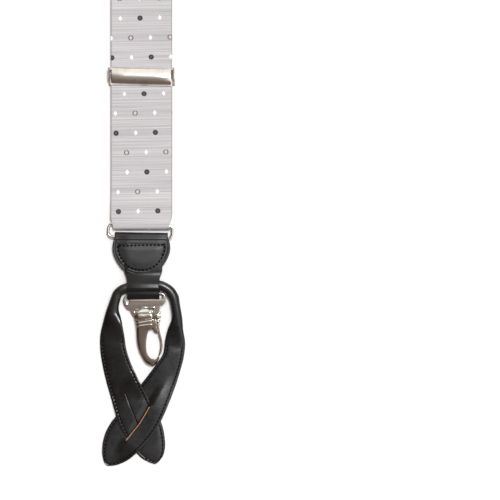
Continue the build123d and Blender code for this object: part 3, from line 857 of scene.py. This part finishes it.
def slit_side(u, v):
    """Distance from the line of the right arm's slit, positive on its upper left."""
    d = Vector((u, v)) - SLIT_A
    return d.x * SLIT_DIR.y - d.y * SLIT_DIR.x


def slit_share(u, v):
    """How far along the slit a place is: 0 at its upper end, 1 at its lower end."""
    return (Vector((u, v)) - SLIT_A).dot(SLIT_DIR) / (SLIT_B - SLIT_A).length


def left_lift(u, v):
    """The left arm rides over the right arm's near half, then dives through its slit."""
    over = smooth((slit_side(u, v) + 0.8) / 4.6)
    away = smooth((21.0 - slit_side(u, v)) / 10.0)
    return LIFT * over * away


def strip_lift(u, v):
    """The right arm's front strip rides over the left arm."""
    side, t = slit_side(u, v), slit_share(u, v)
    reach = smooth((t + 0.95) / 1.05) * smooth((1.50 - t) / 0.52)
    return 1.1 * LIFT * smooth((2.4 - side) / 2.0) * reach * smooth((side + 17.5) / 8)


def rear_lift(u, v):
    """The near half stays down between the ends of the slit."""
    t = slit_share(u, v)
    return strip_lift(u, v) * max(1 - smooth(t / 0.15), smooth((t - 0.85) / 0.15))


def left_front_lift(u, v):
    """The left arm's own front strip stands a little proud of the other."""
    return left_lift(u, v) + 0.35 * smooth((41 - v) / 8)


def no_lift(u, v):
    """The arch lies level."""
    return 0.0


EDGE_STEPS = (0.0, 0.04, 0.12, 0.26, 0.5, 0.9, 1.25, 1.42, 1.56, 1.7, 1.84, 2.0, 2.3)


def arm_section(half, thick, power, low, high):
    """Section across a flattened leather tube between two shares of its width, stitched along its edges."""
    reach = min(1.0, half / 2.6)
    near = [d * reach for d in EDGE_STEPS]
    near += [near[-1] + (half - near[-1]) * k / 4 for k in (1, 2, 3)]
    whole = [-half + d for d in near] + [0.0] + [half - d for d in reversed(near)]
    cuts = [-half + 2 * half * f for f in (low, high)]
    xs = [cuts[0] + (cuts[1] - cuts[0]) * (x + half) / (2 * half) for x in whole]
    if low > 0:
        xs = [cuts[0] + d for d in (0, 0.03, 0.1, 0.2, 0.35)] + [x for x in whole if x > 0.6 + cuts[0]]
    if high < 1:
        xs = [x for x in whole if x < cuts[1] - 0.6] + [cuts[1] - d for d in (0.35, 0.2, 0.1, 0.03, 0)]
    flat = min(1.0, max(0.0, (power - 3.2) / 1.2))
    upper, lower = [], []
    for x in xs:
        body = max(0.0, 1 - (abs(x) / half) ** power) ** (1 / power)
        for share, cut in ((low, cuts[0]), (1 - high, cuts[1])):
            if share > 0:
                e = min(1.0, abs(x - cut) / 0.35)
                body *= 0.55 + 0.45 * math.sqrt(e * (2 - e))
        z = thick / 2 * body + CROWN * flat * (1 - (x / half) ** 2)
        groove = SEAM_DEPTH * math.exp(-((half - abs(x) - SEAM_INSET) / 0.26) ** 2)
        upper.append((x, z - groove * flat))
        lower.append((x, -thick / 2 * body))
    return upper + lower[-2:0:-1]


def band(build, end, rows, lift, low=0.0, high=1.0, start=0, stop=None, steps=7):
    """A leather band through rows, from one share of its width to another."""
    path = curve_through(rows, steps)
    stop = (len(rows) - 1) if stop is None else stop
    rings = []
    for r in path[int(start * steps):int(stop * steps) + 1]:
        outer, inner = Vector((r[0], r[1])), Vector((r[2], r[3]))
        width = (inner - outer).length
        across = (inner - outer) / width
        thick, centre = arm_height(r)
        ring = []
        for x, z in arm_section(width / 2, thick, r[6], low, high):
            share = 0.5 + x / width
            p = outer + across * (width * share)
            ring.append(end.at(p.x, p.y, centre + z + lift(p.x, p.y) + arm_tilt(r[0], p.y, share)))
        rings.append(ring)
    build.rings(rings)


def arm_tilt(u, v, share):
    """The arms' inner edges stand up where they sweep towards the crossing, the left one more."""
    if u < 0:
        return 2.7 * share * smooth((v - 38) / 12) * smooth((90 - v) / 10)
    return 0.5 * share * smooth((v - 44) / 14) * smooth((90 - v) / 10)


def arm_height(row):
    """Thickness and middle height of an arm: leaner than its tube where it is pressed flat."""
    flat = min(1.0, max(0.0, (row[6] - 2.4) / 1.4))
    thick = row[5] + (FLAT_THICK - row[5]) * flat
    return thick, row[4] + (0.15 + FLAT_THICK / 2 - row[4]) * flat


def stitched_edge(seam, end, rows, lift, first, last, side):
    """Thread lying in the channel along one edge of an arm."""
    points = []
    for r in curve_through(rows, 7)[int(first * 7):int(last * 7) + 1]:
        outer, inner = Vector((r[0], r[1])), Vector((r[2], r[3]))
        width = (outer - inner).length
        share = SEAM_INSET / width
        share = 1 - share if side else share
        p = outer.lerp(inner, share)
        thick, centre = arm_height(r)
        crown = CROWN * (1 - (2 * share - 1) ** 2)
        z = centre + thick / 2 + crown + lift(p.x, p.y) + arm_tilt(r[0], p.y, share) - 0.16
        points.append(end.at(p.x, p.y, z))
    stitches(seam, points, [Vector((0, 0, 1))] * len(points), pitch=2.1, length=1.4, radius=0.40)


def slit_edge(build, end):
    """The cut, undyed edge of the front strip along the slit."""
    first, last = RIGHT_SLIT
    rings = []
    for r in curve_through(RIGHT_ARM, 7)[int((first + 0.15) * 7):int((last - 0.1) * 7) + 1]:
        outer, inner = Vector((r[0], r[1])), Vector((r[2], r[3]))
        p = outer.lerp(inner, RIGHT_SPLIT)
        across = (inner - outer).normalized()
        thick, centre = arm_height(r)
        rings.append([end.at(p.x + across.x * (x + 0.12), p.y + across.y * (x + 0.12),
                             centre + 0.22 + strip_lift(p.x, p.y) + z)
                      for x, z in superellipse(0.32, thick / 2 - 0.02, 4.0, 14)])
    build.rings(rings)


def button_loop(end):
    """Rolled leather arch whose flattened arms are slit, cross and lock through each other."""
    build = Builder()
    band(build, end, ARCH, no_lift)
    first, last = RIGHT_SLIT
    band(build, end, RIGHT_ARM, strip_lift, stop=first)
    band(build, end, RIGHT_ARM, rear_lift, RIGHT_SPLIT, 1.0, first, last)
    band(build, end, RIGHT_ARM, strip_lift, 0.0, RIGHT_SPLIT, first, last)
    band(build, end, RIGHT_ARM, strip_lift, start=last)
    first, last = LEFT_SLIT
    band(build, end, LEFT_ARM, left_lift, stop=first)
    band(build, end, LEFT_ARM, left_front_lift, 0.0, LEFT_SPLIT, first, last)
    band(build, end, LEFT_ARM, left_lift, LEFT_SPLIT, 1.0, first, last)
    band(build, end, LEFT_ARM, left_lift, start=last)
    piece = build.make(f"leather_loop_{end.name}", (LEATHER_LOOP,))
    settle(piece, f"loop_{end.name}", "rolled_leather", f"button_loop_{end.name}")

    seam = Builder()
    for rows, lift, first, last, side in (
            (RIGHT_ARM, strip_lift, 3.4, 14.0, 0), (RIGHT_ARM, strip_lift, 3.4, 6.9, 1),
            (RIGHT_ARM, rear_lift, 9.6, 14.0, 1),
            (LEFT_ARM, left_lift, 3.4, 8.2, 1), (LEFT_ARM, left_front_lift, 3.4, 10.2, 0),
            (LEFT_ARM, left_lift, 10.2, 14.0, 1), (LEFT_ARM, left_lift, 12.2, 14.0, 0)):
        stitched_edge(seam, end, rows, lift, first, last, side)
    thread = seam.make(f"loop_stitching_{end.name}", (THREAD,))
    settle(thread, f"loop_{end.name}", "rolled_leather")

    edge = Builder()
    slit_edge(edge, end)
    cut = edge.make(f"slit_edge_{end.name}", (RAW_EDGE,))
    settle(cut, f"loop_{end.name}", "rolled_leather")


# ---- trigger snap

def stamped_plate(end, name, outlines, z_mid, thick, bevel, material):
    """A plate with rounded edges, cut from closed smooth outlines. The first is the outside."""
    curve = bpy.data.curves.new(name, "CURVE")
    curve.dimensions = "2D"
    curve.fill_mode = "BOTH"
    curve.extrude = (thick / 2 - bevel) * MM
    curve.bevel_depth = bevel * MM
    curve.bevel_resolution = 3
    curve.offset = -bevel * MM
    for points in outlines:
        ring = points[-1:] + points + points[:2]
        pts = [tuple(p) for p in curve_through(ring, 6)[6:-6]][:-1]
        spline = curve.splines.new("POLY")
        spline.points.add(len(pts) - 1)
        for sp, (u, v) in zip(spline.points, pts):
            p = end.at(u, v, 0)
            sp.co = (p.x, p.y, 0, 1)
        spline.use_cyclic_u = True
    holder = bpy.data.objects.new(name + "_curve", curve)
    bpy.context.scene.collection.objects.link(holder)
    bpy.context.view_layer.update()
    mesh = bpy.data.meshes.new_from_object(holder.evaluated_get(bpy.context.evaluated_depsgraph_get()))
    bpy.data.objects.remove(holder)
    work = bmesh.new()
    work.from_mesh(mesh)
    bmesh.ops.remove_doubles(work, verts=work.verts, dist=1e-6)
    bmesh.ops.recalc_face_normals(work, faces=work.faces)
    for vert in work.verts:
        vert.co.z += z_mid * MM
    work.to_mesh(mesh)
    work.free()
    mesh.materials.clear()
    mesh.materials.append(material)
    mesh.polygons.foreach_set("use_smooth", [True] * len(mesh.polygons))
    mesh.polygons.foreach_set("material_index", [0] * len(mesh.polygons))
    mesh.set_sharp_from_angle(angle=math.radians(38))
    obj = bpy.data.objects.new(name, mesh)
    bpy.context.scene.collection.objects.link(obj)
    return obj


def bar_rings(end, path, half_w, half_h, power=2.0, count=20):
    """Rings along (u, v, z, width share, height share) rows, square to the path in the plane."""
    rows = curve_through(path, 6)
    rings = []
    for k, r in enumerate(rows):
        a, b = rows[max(0, k - 1)], rows[min(len(rows) - 1, k + 1)]
        along = Vector((b[0] - a[0], b[1] - a[1])).normalized()
        side = Vector((-along.y, along.x))
        rings.append([end.at(r[0] + side.x * x, r[1] + side.y * x, r[2] + z)
                      for x, z in superellipse(half_w * r[3], half_h * r[4], power, count)])
    return rings


EYE_OUTLINE = [(-8.3, 98.2), (-10.2, 96.1), (-10.4, 93.9), (-9.4, 91.4), (-8.1, 89.7), (-6.5, 89.2), (-6.0, 87.9),
               (-4.9, 86.1), (-4.1, 84.9), (-3.9, 83.6), (-3.2, 82.8), (2.0, 82.6), (7.6, 82.8), (8.5, 83.9),
               (8.9, 85.2), (9.4, 86.9), (10.3, 88.1), (10.7, 89.6), (10.9, 91.2), (12.3, 92.2),
               (13.8, 93.8), (14.0, 96.4), (13.0, 98.3), (11.0, 99.2), (8.0, 99.2), (1.0, 98.9), (-6.0, 98.6)]
EYE_HOLE = [(-8.3, 96.6), (-8.7, 95.2), (-8.4, 93.5), (-7.6, 92.8), (-6.9, 93.6), (-6.4, 95.1), (1.5, 95.4),
            (10.4, 95.7), (11.7, 96.5), (11.4, 98.0), (8.0, 98.1), (-6.6, 97.1)]
WINDOW = [(-3.7, 88.5), (-3.2, 89.0), (-1.2, 89.1), (0.4, 90.1), (3.4, 90.4), (4.5, 89.7), (6.8, 89.9), (6.4, 88.6),
          (2.0, 88.2), (-1.6, 88.0)]


def limb_section(half, height):
    """Flat-faced section with a broad slope on its outer side and a crisp inner edge."""
    slope = min(1.5, half * 0.8)
    return [(-half, -height + 0.3), (-half, height - 1.35), (-half + 0.03, height - 1.22),
            (-half + slope * 0.5, height - 0.62), (-half + slope * 0.94, height - 0.09),
            (-half + slope, height - 0.02), (-half + slope + 0.08, height), (half - 0.22, height),
            (half - 0.16, height - 0.01), (half - 0.03, height - 0.12), (half, height - 0.5),
            (half, -height + 0.3), (half - 0.3, -height), (-half + 0.3, -height)]


# Each row: the hook limb's outer edge (u, v) and its inner edge (u, v)
HOOK_MID_Z = 2.55
HOOK_HALF_THICK = 1.75
EAR_HEIGHTS = (4.0, 1.1)    # the hook's two ears, above and below the gate
HOOK_ROWS = [(-3.8, 83.2, 7.5, 83.4), (-3.3, 80.8, 7.3, 80.6), (-3.05, 79.2, 6.4, 79.2), (-3.0, 78.0, 4.5, 77.9),
             (-2.9, 75.6, 3.5, 75.8), (-2.75, 73.2, 3.0, 73.4),
             (-2.6, 71.0, 2.75, 71.2), (-1.9, 67.6, 2.7, 68.0), (-1.1, 65.2, 2.95, 65.6), (0.1, 62.8, 3.5, 64.1),
             (1.6, 60.0, 4.5, 63.0), (3.8, 58.1, 5.8, 62.1), (6.1, 57.4, 7.1, 61.4), (7.9, 58.2, 8.1, 61.3),
             (9.4, 60.2, 8.9, 62.0), (10.3, 62.3, 9.3, 62.7)]


def hook_limb(build, end):
    """The hook's limb, from its crossbar round to its tip."""
    rings = []
    for ou, ov, iu, iv in curve_through(HOOK_ROWS, 6):
        outer, inner = Vector((ou, ov)), Vector((iu, iv))
        mid, across = (outer + inner) / 2, (inner - outer).normalized()
        rings.append([end.at(mid.x + across.x * x, mid.y + across.y * x, HOOK_MID_Z + z)
                      for x, z in limb_section((inner - outer).length / 2, HOOK_HALF_THICK)])
    build.rings(rings)


def bars(build, end, bar_list):
    """Rounded bars, each a list of (u, v, z) points with a half width and a half height."""
    for points, half_w, half_h, power in bar_list:
        rows = [(*p, 1.0, 1.0) for p in points]
        rows[0] = (*points[0], 0.55, 0.55)
        rows[-1] = (*points[-1], 0.55, 0.55)
        build.rings(bar_rings(end, rows, half_w, half_h, power, 18))


def metal_piece(build, name, end, body, material, *replaced):
    """One of an end's metal pieces, named and placed by that end."""
    piece = build.make(f"{name}_{end.name}", (material,))
    slot = "spring_steel" if material is STEEL else "polished_nickel"
    settle(piece, f"{body}_{end.name}", slot, *[f"{node}_{end.name}" for node in replaced])


def snap(end):
    """Stamped trigger snap: eye plate, rolled throat and bands, hook and spring gate."""
    eye = stamped_plate(end, f"eye_plate_{end.name}", [EYE_OUTLINE, EYE_HOLE, WINDOW],
                        z_mid=2.6, thick=1.5, bevel=0.40, material=NICKEL_CAST)
    settle(eye, f"snap_{end.name}", "polished_nickel", f"snap_eye_{end.name}")

    hook = Builder()
    hook_limb(hook, end)
    bars(hook, end, [
        ([(4.4, 80.0, 2.55), (5.6, 79.3, 2.55), (6.6, 78.7, 2.55)], 1.35, 1.72, 4.0)])
    for z in EAR_HEIGHTS:
        bars(hook, end, [
            ([(6.0, 85.6, z), (8.0, 85.6, z), (9.6, 85.6, z), (11.0, 85.6, z)], 1.4, 0.35, 3.0),
            ([(7.6, 84.4, z), (7.7, 81.8, z), (7.6, 79.8, z), (8.4, 77.8, z), (9.5, 76.9, z)], 1.2, 0.30, 4.0)])
    metal_piece(hook, "hook", end, "snap", NICKEL_HOOK_PAINTED_DARK, "snap_hook")

    throat = Builder()
    bars(throat, end, [
        ([(-3.9, 85.2, 2.7), (-1.5, 85.5, 2.8), (2.5, 85.7, 2.8), (5.8, 85.9, 2.8), (7.4, 86.0, 2.7)],
         1.9, 1.55, 2.6)])
    metal_piece(throat, "throat_roll", end, "snap", NICKEL_CAST)

    bands = Builder()
    bars(bands, end, [
        ([(-3.5, 81.7, 2.9), (-1.6, 82.0, 3.0), (2.6, 82.7, 3.0), (6.0, 83.2, 3.0), (6.9, 83.3, 2.9)],
         0.72, 1.95, 2.4),
        ([(-3.2, 79.9, 2.9), (-1.4, 80.2, 3.0), (2.8, 80.8, 3.0), (6.0, 81.2, 3.0), (6.9, 81.3, 2.9)],
         0.72, 1.95, 2.4)])
    metal_piece(bands, "rolled_band", end, "snap", NICKEL, "snap_collar")

    lips = Builder()
    bars(lips, end, [
        ([(-4.2, 88.4, 3.3), (-3.6, 89.5, 3.5), (-1.3, 89.6, 3.5), (0.2, 90.6, 3.6), (2.0, 90.9, 3.6),
          (3.8, 90.8, 3.5)], 0.34, 0.40, 2.0),
        ([(4.9, 90.5, 3.5), (6.4, 90.7, 3.5), (7.6, 90.4, 3.4), (7.0, 88.7, 3.3)], 0.36, 0.40, 2.0),
        ([(-3.4, 88.1, 3.3), (-1.7, 87.5, 3.5), (2.0, 87.7, 3.5), (4.6, 87.9, 3.5), (6.4, 88.2, 3.4)],
         0.36, 0.42, 2.0)])
    metal_piece(lips, "window_lips", end, "snap", NICKEL)

    spring = Builder()
    bars(spring, end, [([(7.1, 80.8, 2.6), (7.1, 79.4, 2.6), (7.3, 78.0, 2.6)], 0.16, 0.6, 4.0)])
    metal_piece(spring, "gate_spring", end, "snap", STEEL, "trigger_spring")

    gate = Builder()
    bars(gate, end, [
        ([(9.4, 84.6, 2.6), (9.4, 80.0, 2.6), (10.0, 76.3, 2.6), (11.1, 72.0, 2.6), (11.35, 68.4, 2.6),
          (10.8, 65.4, 2.6), (9.9, 63.2, 2.6)], 0.62, 0.95, 3.0)])
    metal_piece(gate, "gate", end, "trigger", NICKEL_HOOK_PAINTED_DARK, "snap_trigger")

    clip = Builder()
    bars(clip, end, [
        ([(11.5, 88.3, 3.0), (9.5, 87.1, 3.1), (10.6, 85.9, 3.1), (9.4, 84.9, 3.1), (10.4, 83.2, 3.1),
          (9.6, 81.9, 3.1), (10.3, 80.4, 3.0)], 0.46, 0.44, 2.0)])
    metal_piece(clip, "gate_clip", end, "trigger", NICKEL)


# ---- yoke

YOKE_SEAM = 2.2             # from the yoke's edge in to its stitches


def yoke_pieces():
    """Two shield-shaped leathers and the seam that joins them."""
    low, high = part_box("yoke_over")
    mid = End("yoke", (low.x + high.x) / 2, low.y)
    height = (high.y - low.y) / MM
    half = (high.x - low.x) / 2 / MM
    right = [(0, height), (half * 0.35, height - 0.7), (half * 0.72, height - 4.6), (half * 0.97, height - 12.5),
             (half * 0.93, height - 21), (half * 0.70, height * 0.46), (half * 0.55, height * 0.22),
             (half * 0.50, 3.4), (half * 0.44, 0.2)]
    left = [(-u, v) for u, v in reversed(right)]
    curve = [tuple(p) for p in curve_through(right, 8)] + [tuple(p) for p in curve_through(left, 8)][:-1]
    middle = (0.0, height * 0.56)

    def top(u, v, d):
        edge = min(1.0, d / 0.5)
        groove = 0.14 * math.exp(-((d - YOKE_SEAM) / 0.3) ** 2)
        return 3.05 + 0.55 * math.sqrt(edge * (2 - edge)) - groove

    upper = relief(mid, curve, middle, top, lambda u, v, d: 2.42)
    lower = relief(mid, curve, middle, lambda u, v, d: 1.18, lambda u, v, d: 3.6 - top(u, v, d))
    settle(upper.make("yoke_upper_leather", (LEATHER_TAB,)), "webbing", "black_leather", "yoke_over")
    settle(lower.make("yoke_lower_leather", (LEATHER_TAB,)), "webbing", "black_leather", "yoke_under")
    seam = Builder()
    points = [mid.at(u, v, top(u, v, YOKE_SEAM) + 0.05) for u, v in inset(curve, YOKE_SEAM)]
    points.append(points[0])
    stitches(seam, points, [Vector((0, 0, 1))] * len(points), pitch=2.6, length=1.8, radius=0.28)
    settle(seam.make("yoke_stitching", (THREAD,)), "webbing", "black_leather")


# ---- adjuster cover and the CAD metal that stays

COVER_TILT = math.radians(1.4)
COVER_WALL = 0.7
# How each end of the cover turns down: share of its half length, drop, share of its half width
COVER_END = ((1.0, 1.5, 0.93), (0.997, 0.85, 0.955), (0.988, 0.42, 0.975), (0.972, 0.14, 0.99),
             (0.95, 0.02, 1.0))


def cover(end):
    """Crowned adjuster cover with rolled long edges and turned-down ends, sitting a touch askew."""
    low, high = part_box(f"adjuster_lever_{end.name}")
    low_v, high_v = (low.y - end.y) / MM, (high.y - end.y) / MM
    half_u = (high.x - low.x) / 2 / MM
    mid_v, half_v = (low_v + high_v) / 2, (high_v - low_v) / 2
    top_z = high.z / MM

    def section(drop, shrink):
        outer, inner = [], []
        for k in range(25):
            t = -1 + 2 * k / 24
            crown = 1.9 * t * t + 0.75 * abs(t) ** 9
            v = half_v * shrink * t
            outer.append((v, top_z - crown - drop))
            inner.append((v * 0.93, top_z - crown * 0.92 - drop - COVER_WALL))
        return outer + inner[::-1]

    rings = []
    stations = [(-x, drop, shrink) for x, drop, shrink in COVER_END]
    stations += [(-0.5, 0, 1), (0, 0, 1), (0.5, 0, 1)]
    stations += reversed(COVER_END)
    for x, drop, shrink in stations:
        u = x * half_u
        rings.append([end.at(u + v * math.sin(COVER_TILT), mid_v + v - u * math.sin(COVER_TILT), z)
                      for v, z in section(drop, shrink)])
    build = Builder()
    build.rings(rings)
    metal_piece(build, "cover_plate", end, "adjuster_cover", NICKEL_COVER, "adjuster_lever")


def finish_cad(name, material):
    """Give a CAD node that stays its material."""
    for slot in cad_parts[name].material_slots:
        slot.material = material


def hardware():
    """The frames and rings are nickel, and the pins and rivets steel."""
    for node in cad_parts:
        if node.startswith(("adjuster_frame", "ring")):
            finish_cad(node, NICKEL)
        elif node.startswith(("adjuster_pin", "snap_rivet")):
            finish_cad(node, STEEL)


# ---- stage, light and camera

def stage():
    """The plain pale floor."""
    n = Nodes("floor_paper")
    at = n.place()
    tone = n.noise(at, 3.0, 3.0)
    colour = n.mix(n.ramp(tone, 0.3, 0.7), (0.90, 0.90, 0.90), (0.92, 0.92, 0.92))
    paper = n.finish(Base_Color=colour, Roughness=0.9, Specular_IOR_Level=0.1)
    mesh = bpy.data.meshes.new("floor")
    size = 30.0
    corners = [(-size, -size, 0), (size, -size, 0), (size, size, 0), (-size, size, 0)]
    mesh.from_pydata(corners, [], [(0, 1, 2, 3)])
    mesh.materials.append(paper)
    floor = bpy.data.objects.new("floor", mesh)
    bpy.context.scene.collection.objects.link(floor)


def sun(name, strength, toward, angle, colour=(1, 1, 1)):
    """A soft light whose rays come from the direction toward."""
    light = bpy.data.lights.new(name, "SUN")
    light.energy = strength
    light.angle = math.radians(angle)
    light.color = colour
    obj = bpy.data.objects.new(name, light)
    obj.rotation_mode = "QUATERNION"
    obj.rotation_quaternion = Vector(toward).to_track_quat("Z", "Y")
    bpy.context.scene.collection.objects.link(obj)


def lights():
    """A bright window to the north, a dim warm south, a grey ceiling and a pale horizon."""
    world = bpy.data.worlds.new("studio")
    bpy.context.scene.world = world
    world.use_nodes = True
    tree = world.node_tree
    coord = tree.nodes.new("ShaderNodeTexCoord")
    parts = tree.nodes.new("ShaderNodeSeparateXYZ")
    tree.links.new(coord.outputs["Generated"], parts.inputs[0])

    def fade(axis, low, high):
        node = tree.nodes.new("ShaderNodeMapRange")
        node.interpolation_type = "SMOOTHSTEP"
        node.inputs["From Min"].default_value = low
        node.inputs["From Max"].default_value = high
        tree.links.new(parts.outputs[axis], node.inputs["Value"])
        return node.outputs["Result"]

    def blend(factor, a, b):
        node = tree.nodes.new("ShaderNodeMix")
        node.data_type = "RGBA"
        tree.links.new(factor, node.inputs["Factor"])
        for socket, value in ((node.inputs[6], a), (node.inputs[7], b)):
            if isinstance(value, tuple):
                socket.default_value = (*value, 1)
            else:
                tree.links.new(value, socket)
        return node.outputs[2]

    sky = blend(fade("Y", -0.70, 0.02), (0.17, 0.125, 0.105), (0.31, 0.29, 0.265))
    sky = blend(fade("Y", 0.06, 0.62), sky, (1.12, 1.07, 0.99))
    sky = blend(fade("X", -0.30, -0.55), sky, (0.12, 0.055, 0.036))
    sky = blend(fade("X", 0.38, 0.62), sky, (0.17, 0.09, 0.065))
    sky = blend(fade("Z", 0.10, 0.03), sky, (1.0, 1.0, 1.0))
    tree.links.new(sky, tree.nodes["Background"].inputs["Color"])
    sun("key", 2.45, (0.19, 0.28, 1.0), 12, (0.965, 0.985, 1.0))
    sun("fill", 0.70, (0.60, -0.24, 0.8), 50, (0.98, 0.99, 1.0))


PHOTO_WIDTH = 285.0         # millimetres across the picture
PHOTO_CENTRE = (61.8, 123.4)


def camera():
    """Straight above the right clip end, as photographed."""
    data = bpy.data.cameras.new("camera")
    data.lens = 100
    data.sensor_width = 36
    obj = bpy.data.objects.new("camera", data)
    distance = PHOTO_WIDTH * MM * data.lens / data.sensor_width
    spot = RIGHT.at(PHOTO_CENTRE[0], PHOTO_CENTRE[1], 2.0)
    obj.location = (spot.x, spot.y, spot.z + distance)
    bpy.context.scene.collection.objects.link(obj)
    bpy.context.scene.camera = obj


camera()
stage()
lights()
bpy.context.scene.view_settings.view_transform = "Standard"
front_strap(RIGHT, 1)
front_strap(LEFT, -1)
strap_tail(RIGHT)
strap_tail(LEFT)
back_strap()
yoke_pieces()
for end in ENDS:
    patch(end)
    neck(end)
    button_loop(end)
    snap(end)
hardware()
cover(RIGHT)
cover(LEFT)
